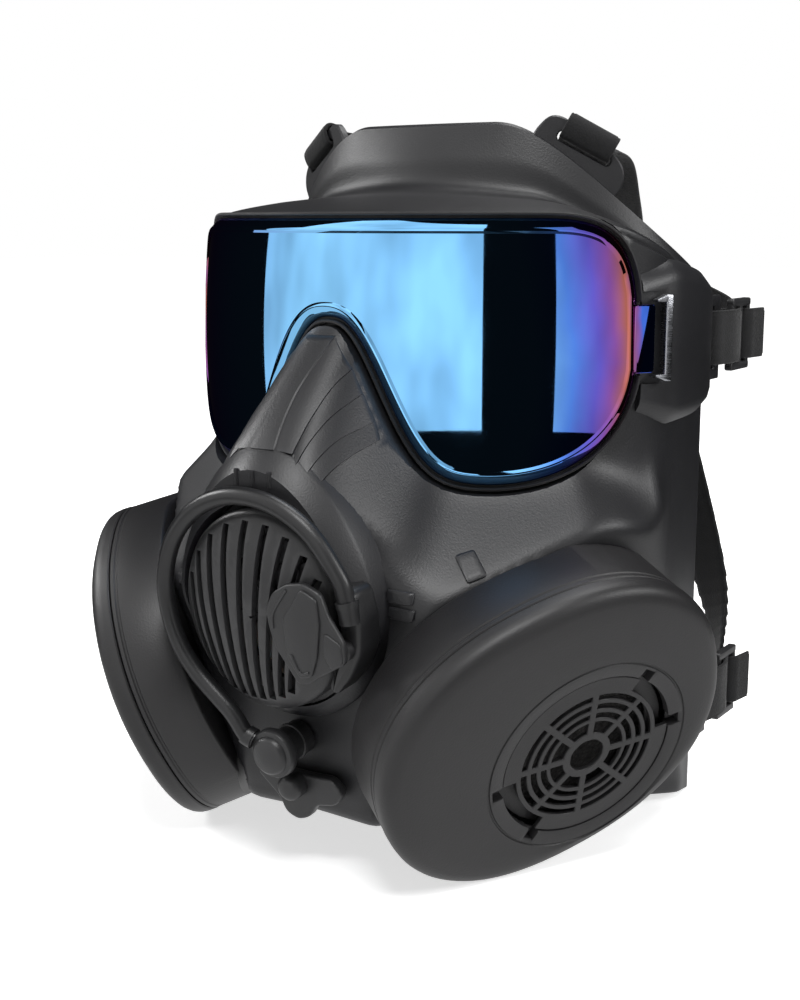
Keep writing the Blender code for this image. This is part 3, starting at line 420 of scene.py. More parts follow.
class Graph:
    """A material's node tree, written node by node."""

    def __init__(self, name):
        self.material = bpy.data.materials.new(name)
        self.material.use_nodes = True
        self.tree = self.material.node_tree
        self.shader = self.tree.nodes["Principled BSDF"]
        self.place = self.tree.nodes.new("ShaderNodeTexCoord").outputs["Object"]

    def node(self, kind, links=None, **values):
        made = self.tree.nodes.new(kind)
        for key, value in values.items():
            if hasattr(made, key):
                setattr(made, key, value)
            else:
                made.inputs[key.replace("_", " ")].default_value = value
        for key, source in (links or {}).items():
            self.tree.links.new(source, made.inputs[key])
        return made

    def noise(self, scale, detail=3.0, rough=0.55, stretch=None):
        source = self.place
        if stretch:
            source = self.node("ShaderNodeMapping", {"Vector": source}, Scale=stretch).outputs[0]
        made = self.node("ShaderNodeTexNoise", {"Vector": source})
        made.inputs["Scale"].default_value = scale
        made.inputs["Detail"].default_value = detail
        made.inputs["Roughness"].default_value = rough
        return made.outputs["Fac"]

    def ramp(self, source, *stops):
        """A colour ramp from (place, value or colour) stops."""
        made = self.node("ShaderNodeValToRGB", {"Fac": source})
        elements = made.color_ramp.elements
        while len(elements) < len(stops):
            elements.new(0.5)
        for element, (place, value) in zip(elements, stops):
            element.position = place
            colour = (value,) * 3 if np.isscalar(value) else value
            element.color = (*colour, 1.0)
        return made.outputs["Color"]

    def math(self, operation, a, b):
        made = self.node("ShaderNodeMath")
        made.operation = operation
        for number, value in enumerate((a, b)):
            if isinstance(value, (int, float)):
                made.inputs[number].default_value = value
            else:
                self.tree.links.new(value, made.inputs[number])
        return made.outputs[0]

    def mix(self, kind, share, a, b):
        made = self.node("ShaderNodeMix")
        made.data_type = "RGBA"
        made.blend_type = kind
        sockets = [s for s in made.inputs if s.enabled]
        for socket, value in zip(sockets, (share, a, b)):
            if isinstance(value, (int, float)):
                socket.default_value = value
            elif isinstance(value, tuple):
                socket.default_value = (*value, 1.0)
            else:
                self.tree.links.new(value, socket)
        return next(s for s in made.outputs if s.enabled)

    def bump(self, *layers):
        """Bumps from (height, distance in metres, strength) layers, coarse one first."""
        last = None
        for height, distance, strength in layers:
            links = {"Height": height}
            if last:
                links["Normal"] = last
            made = self.node("ShaderNodeBump", links)
            made.inputs["Distance"].default_value = distance
            made.inputs["Strength"].default_value = strength
            last = made.outputs["Normal"]
        self.link("Normal", last)

    def link(self, name, source):
        self.tree.links.new(source, self.shader.inputs[name])

    def set(self, **values):
        for key, value in values.items():
            self.shader.inputs[key.replace("_", " ")].default_value = value


def times(colour, factor, lift=0.0):
    return tuple(c * factor + lift for c in colour)


def polymer(name, colour, rough, grain, relief):
    """Moulded polymer: fine spark grain, faint flow marks and slightly polished edges."""
    g = Graph(name)
    g.set(Specular_IOR_Level=0.5, IOR=1.5)
    flow = g.noise(28.0, 4.0, 0.6)
    tint = g.ramp(flow, (0.3, times(colour, 0.86)), (0.7, times(colour, 1.12)))
    edge = g.node("ShaderNodeNewGeometry").outputs["Pointiness"]
    worn = g.ramp(edge, (0.52, 0.0), (0.60, 0.35))
    g.link("Base Color", g.mix("MIX", worn, tint, times(colour, 2.1, 0.01)))
    patch = g.noise(9.0, 3.0, 0.5)
    g.link("Roughness", g.ramp(patch, (0.3, rough - 0.05), (0.7, rough + 0.05)))
    grain_height = g.noise(grain, 2.0, 0.5)
    dents = g.noise(70.0, 3.0, 0.5)
    g.bump((dents, 0.0004, 0.12), (grain_height, 0.00012, relief))
    return g.material


def rubber(name, colour, rough=0.62):
    g = Graph(name)
    g.set(Specular_IOR_Level=0.35, Sheen_Weight=0.08, Sheen_Roughness=0.5)
    dust = g.noise(45.0, 5.0, 0.65)
    g.link("Base Color", g.ramp(dust, (0.42, colour), (0.8, times(colour, 1.5, 0.012))))
    g.link("Roughness", g.ramp(g.noise(16.0), (0.3, rough - 0.08), (0.7, rough + 0.06)))
    g.bump((g.noise(900.0, 2.0), 0.00008, 0.35))
    return g.material


def silicone(name, colour):
    g = Graph(name)
    g.set(Subsurface_Weight=0.35, Subsurface_Scale=0.003, Coat_Weight=0.12)
    bloom = g.noise(35.0, 4.0)
    g.link("Base Color", g.ramp(bloom, (0.3, times(colour, 0.9)), (0.75, colour)))
    g.link("Roughness", g.ramp(g.noise(20.0), (0.3, 0.34), (0.7, 0.46)))
    g.bump((g.noise(500.0, 2.0), 0.0001, 0.2))
    return g.material


def webbing(name, colour):
    """Woven nylon: fine yarns over the ribs that the mesh itself has."""
    g = Graph(name)
    g.set(Specular_IOR_Level=0.3, Sheen_Weight=0.1, Sheen_Roughness=0.4)
    yarn = g.node("ShaderNodeTexVoronoi", {"Vector": g.place})
    yarn.inputs["Scale"].default_value = 1500.0
    fuzz = g.noise(260.0, 4.0, 0.7)
    worn = g.ramp(fuzz, (0.3, colour), (0.75, times(colour, 1.9)))
    between = g.ramp(yarn.outputs["Distance"], (0.0, 1.0), (0.7, 0.55))
    g.link("Base Color", g.mix("MULTIPLY", 0.5, worn, between))
    g.link("Roughness", g.ramp(fuzz, (0.2, 0.78), (0.8, 0.95)))
    g.bump((fuzz, 0.0002, 0.4), (yarn.outputs["Distance"], 0.00016, 0.6))
    return g.material


def metal(name, colour, rough=0.24):
    g = Graph(name)
    g.set(Metallic=1.0)
    brushed = g.noise(180.0, 3.0, 0.6, stretch=(1.0, 1.0, 14.0))
    g.link("Base Color", g.ramp(brushed, (0.3, times(colour, 0.85)), (0.7, colour)))
    g.link("Roughness", g.ramp(brushed, (0.3, rough - 0.06), (0.7, rough + 0.08)))
    g.bump((brushed, 0.00004, 0.3))
    return g.material


def mirror_coating(name):
    """Interference coating: blue over the middle, violet, then copper towards each end."""
    g = Graph(name)
    g.set(Metallic=1.0, Specular_Tint=(0.62, 0.32, 0.78, 1.0))
    g.set(Coat_Weight=0.25, Coat_Roughness=0.03)
    parts = g.node("ShaderNodeSeparateXYZ", {"Vector": g.place})
    behind = g.math("SUBTRACT", (AXIS_Y + Y_SHIFT) * MM, parts.outputs["Y"])
    turn = g.math("ABSOLUTE", g.math("ARCTAN2", parts.outputs["X"], behind), 0.0)
    height = g.math("MULTIPLY", g.math("SUBTRACT", parts.outputs["Z"], LENS_MID_Z * MM), 1.6)
    streak = g.math("MULTIPLY", g.math("SUBTRACT", g.noise(26.0, 3.0), 0.5), 0.10)
    place = g.math("ADD", g.math("ADD", turn, g.math("ABSOLUTE", height, 0.0)), streak)
    bands = ((0.0, (0.25, 0.62, 1.0)), (0.66, (0.21, 0.55, 0.99)), (0.78, (0.09, 0.26, 0.90)),
             (0.86, (0.15, 0.12, 0.72)), (0.91, (0.28, 0.09, 0.42)), (0.955, (0.46, 0.13, 0.08)),
             (0.985, (0.26, 0.10, 0.40)), (1.0, (0.05, 0.16, 0.75)))
    g.link("Base Color", g.ramp(place, *bands))
    g.link("Roughness", g.ramp(g.noise(60.0, 4.0), (0.35, 0.015), (0.8, 0.05)))
    g.bump((g.noise(22.0, 2.0), 0.0003, 0.05))
    return g.material


def clear_polycarbonate(name):
    g = Graph(name)
    g.set(Transmission_Weight=0.9, IOR=1.58)
    haze = g.ramp(g.noise(40.0), (0.3, (0.62, 0.68, 0.7)), (0.7, (0.72, 0.77, 0.78)))
    g.link("Base Color", haze)
    g.link("Roughness", g.ramp(g.noise(120.0, 4.0), (0.4, 0.03), (0.8, 0.09)))
    return g.material


def granules(name, colour, grain=420.0):
    g = Graph(name)
    cells = g.node("ShaderNodeTexVoronoi", {"Vector": g.place})
    cells.inputs["Scale"].default_value = grain
    dark = times(colour, 0.35)
    g.link("Base Color", g.ramp(cells.outputs["Distance"], (0.1, colour), (0.75, dark)))
    g.link("Roughness", g.ramp(g.noise(80.0), (0.3, 0.85), (0.7, 0.98)))
    g.bump((cells.outputs["Distance"], 0.0006, 0.9))
    return g.material


def make_materials():
    return {
        "shell": polymer("shell_polymer", (0.0095, 0.0095, 0.0110), 0.43, 1500.0, 0.55),
        "hard": polymer("hard_polymer", (0.0160, 0.0160, 0.0170), 0.39, 1900.0, 0.40),
        "filter": polymer("filter_polymer", (0.0105, 0.0100, 0.0108), 0.45, 1500.0, 0.50),
        "trim": polymer("trim_polymer", (0.009, 0.009, 0.0098), 0.36, 2200.0, 0.30),
        "seal": rubber("seal_rubber", (0.012, 0.012, 0.013)),
        "gasket": rubber("gasket_rubber", (0.006, 0.006, 0.007), 0.5),
        "silicone": silicone("silicone", (0.075, 0.075, 0.08)),
        "flap": silicone("flap_silicone", (0.06, 0.058, 0.055)),
        "webbing": webbing("webbing", (0.007, 0.007, 0.0075)),
        "pad": webbing("pad_fabric", (0.016, 0.016, 0.018)),
        "mirror": mirror_coating("mirror_blue"),
        "clear": clear_polycarbonate("clear_lens"),
        "steel": metal("spring_steel", (0.42, 0.43, 0.46)),
        "diaphragm": metal("diaphragm_film", (0.09, 0.09, 0.095), 0.42),
        "paper": granules("filter_paper", (0.030, 0.028, 0.027), 700.0),
        "carbon": granules("carbon", (0.02, 0.02, 0.02)),
    }


MATERIAL = make_materials()

# ---------------------------------------------------------------- lens


def corner_rise(a, reach, power):
    """Rises from 0 to 1 over the reach as the quarter of a superellipse."""
    q = np.clip(a / reach, 0.0, 1.0) ** power
    return 1.0 - (1.0 - q) ** (1 / power)


def nose_arch(a):
    return 53.6 * np.exp(-((a / 13.8) ** 2.5))


def lens_low(degrees):
    """Height of the lens's lower edge: a flat run, a rising corner and the nose arch."""
    a = np.abs(degrees)
    return 130.0 + nose_arch(a) + 45.0 * corner_rise(a - 28.0, 28.0, 2.3)


def lens_high(degrees):
    return 215.3 - 40.0 * corner_rise(np.abs(degrees) - 36.0, 20.0, 3.5)


def spread(count):
    """Steps from -1 to 1 that crowd towards the nose arch and both ends."""
    t = np.linspace(-1.0, 1.0, count)
    return t - 0.55 * np.sin(2 * math.pi * t) / (2 * math.pi)


def lens_loop(outset, count=360):
    limit = math.radians(LENS_DEG)
    along = spread(count // 2 + 1) * limit
    low = np.column_stack([along * LENS_R, lens_low(np.degrees(along))])
    high = np.column_stack([along * LENS_R, lens_high(np.degrees(along))])[::-1]
    points = np.concatenate([low, high])
    ahead = ahead_on(points)
    return points + np.column_stack([ahead[:, 1], -ahead[:, 0]]) * outset


def toric(z, radius):
    """The lens also curves a little from top to bottom."""
    return radius - 0.0015 * (np.asarray(z) - LENS_MID_Z) ** 2


def on_lens(along, z, radius):
    angle = along / LENS_R
    r = toric(z, radius)
    return np.stack([r * np.sin(angle), AXIS_Y - r * np.cos(angle), z], axis=-1)


def lens_grid(outset, radius, columns, rows):
    loop = lens_loop(outset, 720)
    half = len(loop) // 2
    low, high = loop[:half], loop[half:][::-1]
    start = max(low[0, 0], high[0, 0]) + 0.05
    along = -start * spread(columns)
    z_low = np.interp(along, low[:, 0], low[:, 1])
    z_high = np.interp(along, high[:, 0], high[:, 1])
    share = np.linspace(0.0, 1.0, rows)
    z = z_low[:, None] + (z_high - z_low)[:, None] * share
    return on_lens(np.broadcast_to(along[:, None], z.shape), z, radius)


def lens_prism(outset, near, far, columns=60):
    return sheet(lens_grid(outset, far, columns, 9), lens_grid(outset, near, columns, 9))


def lens_band(sections, count=300):
    """A ring round the lens outline; sections are (outset, radius) corners."""
    rings = []
    for outset, radius in sections:
        loop = lens_loop(outset, count)
        rings.append(on_lens(loop[:, 0], loop[:, 1], radius))
    return loft(rings, loop=True)


def tangent(phi):
    return np.array([math.cos(math.radians(phi)), math.sin(math.radians(phi)), 0.0])


def build_lens():
    """The mirrored lens: a curved sheet with a thicker, rounded rim and a tab at each end."""
    back = LENS_R - LENS_T
    pane = sheet(lens_grid(-4.3, LENS_R, 150, 40), lens_grid(-4.3, back, 150, 40))
    rim = [(-5.0, back), (-5.0, LENS_R - 0.2), (-4.55, LENS_R + 0.25), (-4.0, LENS_R + 0.75)]
    rim += [(-3.6, LENS_R + 0.85), (-3.0, LENS_R + 0.7), (-0.9, 107.9), (-0.35, 107.5)]
    rim += [(0.0, 106.9), (0.0, 106.6)]
    along = tangent(57.2)
    outward = np.array([along[1], -along[0], 0.0])
    axes = (polar_point(57.2, LENS_R - 1.3, LENS_END_Z), along, UP, outward)
    outline = rounded([(-4.5, -11.0), (3.2, -11.0), (3.2, 11.0), (-4.5, 11.0)], 1.2)
    tab = slab(axes, outline, -1.0, 1.1, 0.4)
    shapes = [pane, lens_band(rim), tab, mirrored(tab)]
    piece("lens_surface", shapes, "mirror", "lens", "mirror_lens", "mirror_blue", 28.0)


def build_visor_frame():
    corners = [(2.0, 104.2), (2.0, 107.6), (1.75, 108.1), (1.2, 108.1), (0.9, 107.7)]
    corners += [(0.9, 105.9), (-9.6, 105.9), (-9.6, 104.2)]
    band = write_mesh("visor_gasket", [lens_band(corners)])
    middle = polar_point(56.8, 108.0, LENS_END_Z)
    notch = box_shape(middle, tangent(56.8), UP, (9.0, 24.0, 5.0))
    carve(band, notch, mirrored(notch))
    dress(band, "gasket", "facepiece", "visor_frame", "seal_rubber")


# ---------------------------------------------------------------- facepiece shell


def snout_front(z):
    lean = math.tan(OUT_LEAN) * (np.maximum(z, 58.0) - OUT_AT[2])
    chin = 0.0025 * np.clip(58.0 - z, 0.0, 58.0) ** 2
    hood = 12.5 * smooth((z - 112.0) / 22.0)
    return OUT_AT[1] - lean + chin - hood


def flare_low(a):
    """The lens's lower edge as the flare follows it, with an easier corner."""
    arch = nose_arch(a) - 26.0 * smooth((a - 44.0) / 22.0)
    return 130.0 + arch + 45.0 * corner_rise(a - 28.0, 36.0, 2.3)


def base_radius(a):
    return BASE_R - (BASE_R - REAR_R) * smooth((a - 50.0) / (REAR_DEG - 50.0))


def wall_radius(phi, z):
    """Outer radius of the facepiece wall, as in the CAD but with softer blends."""
    a = np.abs(phi)
    sine, cosine = np.sin(np.radians(a)), np.cos(np.radians(a))
    drop = flare_low(np.minimum(a, 62.0)) + 2.5 - z
    flare = BASE_R + 3.0 * np.logaddexp(0.0, drop / 3.0)
    seat = CAN_W @ CAN_AT + CAN_BACK - 0.35
    pod = (seat - CAN_W[1] * AXIS_Y - CAN_W[2] * z) / (CAN_W[0] * sine - CAN_W[1] * cosine)
    front = (AXIS_Y - snout_front(z)) / np.maximum(cosine, 0.15)
    forward = soft_min([soft_min([flare, front], 4.5), pod], 1.6)
    base = base_radius(a)
    blended = base + (forward - base) * (1.0 - smooth((a - 50.0) / 22.0))
    return soft_min([blended, pod], 0.8)


def inner_radius(phi, z, outer):
    low = flare_low(np.minimum(np.abs(phi), 62.0))
    thick_nose = BASE_R - WALL + np.maximum(0.0, low - 9.0 - z)
    return np.minimum(outer - WALL, thick_nose)


def rim_radius(a):
    sine, cosine = np.sin(np.radians(a)), np.cos(np.radians(a))
    return 1.0 / np.sqrt((sine / 82.0) ** 2 + (cosine / 48.0) ** 2)


def shell_parts(phi):
    """(radius, height) runs down one column: the floor, the wall and the brow."""
    a = np.abs(phi)
    s = a / REAR_DEG
    z_floor, z_low = 13.0 * (1 - s**2), 26.0 - 22.0 * s**2
    r_floor = 62.0 + 21.0 * s**1.5
    r_low = wall_radius(phi, z_low)
    floor = [(r_floor, z_floor), ((r_floor + r_low) / 2, z_floor + 0.2)]
    floor += [(r_low - 6.0 * (1 - s), z_floor + 3.0 * (1 - s) + 0.6), (r_low, z_low)]
    brow = 217.0 - 27.0 * smooth((a - 40.0) / 57.0)
    z_wall = np.linspace(z_low, brow - 4.0, WALL_ROWS)
    wall = np.column_stack([wall_radius(phi, z_wall), z_wall])
    r_brow, r_rim = base_radius(a), rim_radius(a)
    z_rim = 247.0 - 52.0 * smooth((a - 30.0) / 70.0) ** 1.15
    crease = 10.0 - 6.0 * smooth(a / 80.0)
    z_crease = brow + 8.6 - 6.8 * smooth(a / 90.0)
    r_crease = min(r_rim + crease, r_brow - 2.4)
    lift = np.clip((r_brow - r_crease) / 12.0 - 0.2, 0.0, 1.0)
    top = [(r_brow, brow - 4.0), (r_brow - 1.5, brow)]
    top += [((r_brow - 1.5 + r_crease) / 2, (brow + z_crease) / 2 + lift), (r_crease, z_crease)]
    top += [((r_crease + r_rim) / 2, z_crease + 0.5 * (z_rim - z_crease)), (r_rim, z_rim)]
    return floor, wall, top, (r_brow - r_crease) / 12.0


def shell_columns():
    half = np.concatenate([np.arange(0.0, 34.0, 1.1), np.linspace(34.0, REAR_DEG, 46)])
    return np.concatenate([-half[:0:-1], half])


def outer_row(phi, outset=0.0):
    floor, wall, top, _ = shell_parts(phi)
    lower = bend(floor, FLOOR_STEPS)[:-1]
    upper = bend(top, TOP_STEPS)[1:]
    rows = np.concatenate([lower, wall, upper])
    rows[:, 0] += outset
    return rows


def inner_row(phi):
    rows = outer_row(phi)
    r, z = rows[:, 0].copy(), rows[:, 1].copy()
    first = sum(FLOOR_STEPS)
    last = first + WALL_ROWS
    shelf = min(1.0, shell_parts(phi)[3])
    r[first:last] = inner_radius(phi, z[first:last], r[first:last])
    blend = smooth(np.arange(first) / first)
    z[:first] += WALL * (1.0 - blend * 0.6)
    limit = np.linspace(r[first] - 4.0, r[first] - 0.6, first)
    r[:first] = np.minimum(r[:first], limit)
    z[:first] = np.minimum(z[:first], z[first] - 0.05 * np.arange(first, 0, -1))
    z[:first] = np.maximum(z[:first], rows[:first, 1] + 1.6)
    top = np.arange(len(r) - last)
    z[last:] -= WALL * shelf * smooth((sum(TOP_STEPS[:4]) - top) / 8.0)
    r[last:] -= WALL
    return np.column_stack([r, z])


def polar_point(phi, r, z):
    """Points r away from the facepiece's upright axis, at an azimuth and a height."""
    angle = np.radians(phi)
    height = np.broadcast_to(z, np.shape(r))
    return np.stack([r * np.sin(angle), AXIS_Y - r * np.cos(angle), height], axis=-1)


def shell_sheet():
    columns = shell_columns()
    outer = np.array([polar_point(p, *outer_row(p).T) for p in columns])
    inner = np.array([polar_point(p, *inner_row(p).T) for p in columns])
    return sheet(outer, inner, bulge=0.35)


def surface_point(phi, z, lift=0.0):
    """A point on the outer wall at an azimuth and a height."""
    return polar_point(phi, wall_radius(phi, z) + lift, z)


def collar():
    """The raised rim round the outlet module, drawn up to a blunt hood at the top."""
    axes = out_frame()
    inner, outer = ellipse(33.0, 35.8, 120), ellipse(38.8, 40.6, 120, 12.5)
    middle, top = ellipse(38.3, 40.2, 120, 12.2), ellipse(34.9, 37.7, 120, 9.0)
    rise = 0.45 + 0.55 * smooth((np.sin(full_turn(120)) + 0.75) / 0.9)
    rows = [(inner, -4.0), (outer, -4.0), (outer, 5.5 * rise), (middle, 7.2 * rise)]
    rows += [(top, 12.6 * rise), (offset_outline(top, 0.6), 13.35 * rise), (inner, 13.5 * rise)]
    return loft([ring_at(axes, outline, w) for outline, w in rows], loop=True)


def tab_frame(side):
    """Axes of a forehead strap tab: u along its slot, v up its face."""
    u = unit(np.array([side * 0.79, 0.39, -0.48]))
    v = unit(np.cross(np.cross(u, UP), u))
    return np.array([side * 52.0, 30.5, 233.5]), u, v, np.cross(u, v)


def strap_tab(side):
    """The slotted ear on the forehead rim, with rounded edges."""
    outline = [(-17.0, -3.0), (17.0, -8.0), (18.0, 2.0), (15.0, 7.0), (8.0, 10.0)]
    outline = rounded(outline + [(-12.0, 12.0), (-16.0, 10.0), (-18.0, 3.0)], 3.0, 5)
    slot = [(-10.2, 4.3), (10.2, 4.3), (10.2, 7.2), (-10.2, 7.6)]
    slot = resampled(rounded(slot, 1.2, 4), outline)
    rows = [(outline, 0.0, -1.0), (outline, 0.55, -1.6), (slot, -0.4, -1.6), (slot, 0.0, -1.1)]
    rows += [(slot, 0.0, 1.1), (slot, -0.4, 1.6), (outline, 0.55, 1.6), (outline, 0.0, 1.0)]
    axes = tab_frame(side)
    rings = [ring_at(axes, offset_outline(edge, inset), w) for edge, inset, w in rows]
    return loft(rings, loop=True)


def resampled(outline, like):
    """An outline with as many points as another, each on the ray of its fellow."""
    centre = outline.mean(axis=0)
    inner = np.vstack([outline, outline[:1]]) - centre
    made = []
    for point in like - centre:
        ray = unit(point)
        best = 0.0
        for a, b in zip(inner, inner[1:]):
            edge = b - a
            det = ray[0] * -edge[1] + ray[1] * edge[0]
            if abs(det) < 1e-9:
                continue
            t = (a[0] * -edge[1] + a[1] * edge[0]) / det
            s = (ray[0] * a[1] - ray[1] * a[0]) / det
            if t > 0 and -1e-6 <= s <= 1 + 1e-6:
                best = max(best, t)
        made.append(centre + ray * best)
    return np.array(made)


def temple_block():
    """The bolster that the end of the lens latches into, its long edges chamfered."""
    rings = []
    for share in np.linspace(0.0, 1.0, 22):
        phi = np.interp(share, (0.0, 0.26, 0.63, 1.0), (57.5, 66.0, 78.0, 90.0))
        r = np.interp(phi, (57.5, 66.0, 78.0, 90.0), (105.5, 104.0, 97.5, 90.5))
        low = np.interp(phi, (57.5, 66.0, 90.0), (150.0, 146.0, 148.0))
        high = np.interp(phi, (57.5, 66.0, 78.0, 90.0), (200.0, 203.0, 200.0, 196.0))
        inner = base_radius(phi) - 2.0
        section = [(inner, low), (r - 3.6, low + 1.8), (r - 0.7, low + 5.2), (r, low + 8.0)]
        section += [(r, high - 8.0), (r - 0.7, high - 5.2), (r - 3.6, high - 1.8), (inner, high)]
        rings.append([polar_point(phi, a, b) for a, b in section])
    return loft(rings)


def rear_tab(z):
    """The ear behind the shell that a strap's loop hangs in, and the slot to cut in it."""
    tab = box_shape((82.2, 79.5, z), (0, 1, 0), UP, (21.0, 31.0, 3.0))
    slot = box_shape((82.2, 82.35, z), (0, 1, 0), UP, (4.3, 23.0, 12.0))
    return tab, slot


def along_edge(edge, share):
    places = np.linspace(0.0, 1.0, len(edge))
    return np.array([np.interp(share, places, edge[:, k]) for k in (0, 1)])


def strip_on_wall(upper, lower, rise):
    """A thin lapped band on the nose between two edges of (azimuth, height) points."""
    upper, lower = bend(upper, 9), bend(lower, 9)
    outside, inside = [], []
    for t in np.linspace(0.0, 1.0, 26):
        a, b = along_edge(upper, t), along_edge(lower, t)
        places = [(s, *(a + (b - a) * s)) for s in np.linspace(0.0, 1.0, 7)]
        outside.append([surface_point(p, z, 0.15 + (rise - 0.15) * s) for s, p, z in places])
        inside.append([surface_point(p, z, -1.0) for s, p, z in places])
    return sheet(outside, inside)


# lines of (azimuth, height) points from the nose arch down to the hood, from the ridge out
NOSE_LINES = (
    ((2.7, 177.6), (1.3, 164.6), (1.2, 156.4), (1.8, 144.5)),
    ((6.8, 167.6), (5.6, 162.7), (4.8, 154.0), (4.4, 143.6)),
    ((8.9, 159.9), (6.9, 154.4), (5.8, 147.8), (5.2, 140.6)),
    ((11.1, 151.3), (8.5, 147.3), (7.4, 143.3), (6.6, 138.2)),
    ((12.2, 145.6), (10.3, 142.4), (8.9, 138.7), (7.9, 133.6)),
)


def nose_ribs(sign):
    """Lapped bands that fan from the nose arch down to the hood on one side."""
    lines = [np.array(line) * (sign, 1) for line in NOSE_LINES]
    return [strip_on_wall(upper, lower, 1.15) for upper, lower in zip(lines, lines[1:])]


def nose_strip():
    """The flat raised strip down the ridge of the nose."""
    edge = bend(NOSE_LINES[0], 9)
    shares = np.linspace(-1.0, 1.0, 9)
    grids = [[[surface_point(phi * s, z, lift) for s in shares] for phi, z in edge]
             for lift in (0.85, -1.0)]
    return sheet(*grids, bulge=0.2)


def cheek_marks():
    """Small raised pads on the cheek below the lens."""
    shapes = []
    corners = [[(16.4, 97.8), (16.6, 102.1), (20.2, 101.2), (20.0, 97.4)],
               [(16.6, 92.6), (16.7, 96.6), (20.4, 96.0), (20.1, 92.2)],
               [(27.0, 104.0), (24.9, 111.2), (27.6, 112.8), (29.6, 106.1)]]
    for corner in corners:
        for sign in (1.0, -1.0):
            edge = rounded(corner, 0.6, 4) * (sign, 1)
            middle = edge.mean(axis=0)
            rings = []
            for size, lift in ((1.0, -0.8), (1.0, 0.75), (0.92, 1.0), (0.5, 1.02)):
                ring = middle + (edge - middle) * size
                rings.append([surface_point(p, z, lift) for p, z in ring])
            shapes.append(loft(rings))
    return shapes


def hood_ribs():
    """Three small ribs on the top of the hood."""
    axes, shapes = out_frame(), []
    for u in (-6.5, 0.0, 6.5):
        path = frame_points(axes, [(u, 41.0 + 0.5 * k, 13.2) for k in range(11)])
        shapes.append(sweep(path, axes[1], circle(0.8, 10)))
    return shapes


def shell_cuts(latch):
    """What the shell is open to: the lens, the outlet module, the ports and the latches."""
    axes = out_frame()
    opening, module = ellipse(25.4, 28.4), ellipse(32.8, 35.6)
    port = turned(can_frame(), [(PORT_HOLE_R, -45.0), (PORT_HOLE_R, -20.0)])
    return (
        lens_prism(3.0, BASE_R + 0.8, 170.0),
        lens_prism(-6.8, 80.0, 150.0),
        loft([ring_at(axes, opening, -30.0), ring_at(axes, opening, 8.0)]),
        loft([ring_at(axes, module, 0.15), ring_at(axes, module, 40.0)]),
        latch, mirrored(latch), port, mirrored(port),
    )


def build_shell():
    dressing = ("shell", "facepiece", "facepiece_shell", "shell_polymer")
    latch_at = polar_point(60.0, 108.5, LENS_END_Z)
    latch = box_shape(latch_at, tangent(60.0), UP, (11.0, 30.0, 8.0))
    body = write_mesh("facepiece_body", [shell_sheet()])
    carve(body, *shell_cuts(latch))
    dress(body, *dressing, 32.0)

    block = temple_block()
    for name, sign in SIDES:
        bolster = write_mesh(f"temple_bolster_{name}", [flipped(block, sign)])
        carve(bolster, flipped(latch, sign))
        dress(bolster, *dressing, 42.0)
        for z in STRAP_HEIGHTS:
            tab, slot = rear_tab(z)
            ear = write_mesh(f"rear_tab_{name}_{int(z)}", [flipped(tab, sign)])
            carve(ear, flipped(slot, sign))
            soften(ear, 0.0007, 3)
            evaluated_copy(ear)
            dress(ear, *dressing, 50.0)
    trims = [collar(), strap_tab(1), strap_tab(-1), nose_strip(), *nose_ribs(1), *nose_ribs(-1)]
    piece("facepiece_trims", trims + cheek_marks() + hood_ribs(), *dressing, 38.0)


# ---------------------------------------------------------------- side filters


def can_outline(angles, inset, depth=0.0):
    return oval(CAN_A, CAN_B, CAN_POWER, CAN_TILT, angles, inset + CAN_TAPER * depth)


def can_ring(inset, w, count=144, drop=None):
    angles = full_turn(count)
    outline = rays(angles) * can_outline(angles, inset, abs(w))[:, None]
    height = w if drop is None else w - drop(outline)
    return ring_at(can_frame(), outline, height)


def back_extension(outline):
    return 9.0 * smooth((outline[:, 0] + 5.0) / 35.0)


def shell_block(outset):
    """The space inside the shell's outer surface, closed at the back, as a cutter."""
    first = sum(FLOOR_STEPS)
    last = first + WALL_ROWS
    rows = [*range(first, last, 3), *range(last, last + 30, 6)]
    grid = np.array([polar_point(p, *outer_row(p, outset).T) for p in shell_columns()[::2]])
    rings = [grid[:, row] for row in rows]
    rings[0] = rings[0] * (1, 1, 0) + (0, 0, -30.0)
    return loft(rings)


def build_housing():
    profile = [(0.5, CAN_BACK + 0.3), (0.0, CAN_BACK + 1.0), (0.0, -10.2), (0.35, -9.8)]
    profile += [(0.35, -9.2), (0.0, -8.8), (0.0, -7.7), (0.5, -7.25), (4.2, -7.25), (4.2, -22.6)]
    rings = [can_ring(1.5, CAN_BACK, drop=back_extension)]
    for inset, w in profile:
        rings.append(can_ring(inset, w, drop=back_extension if w < -25.0 else None))
    block = shell_block(0.45)
    for name, sign in SIDES:
        drum = write_mesh(f"filter_drum_{name}", [flipped(loft(rings), sign)])
        port = flipped(turned(can_frame(), [(PORT_HOLE_R, -40.0), (PORT_HOLE_R, -10.0)]), sign)
        carve(drum, block, port)
        housing = f"filter_housing_{name}"
        dress(drum, "filter", f"filter_{name}", housing, "hard_polymer", 38.0)


def pocket_share(angles):
    """How far an angle is from the middle of the nearer bayonet recess, in degrees."""
    turn = np.degrees(angles)
    near = [np.abs((turn - middle + 180.0) % 360.0 - 180.0) for middle in RECESSES]
    return np.minimum(*near)


def cap_angles():
    steps = [k * 2.5 for k in range(144)]
    for middle in RECESSES:
        for edge in (-28.0, -20.0, 20.0, 28.0):
            steps = [s for s in steps if abs(s - middle - edge) > 0.8]
            steps += [middle + edge - 0.35, middle + edge + 0.35]
    return np.radians(sorted(steps))


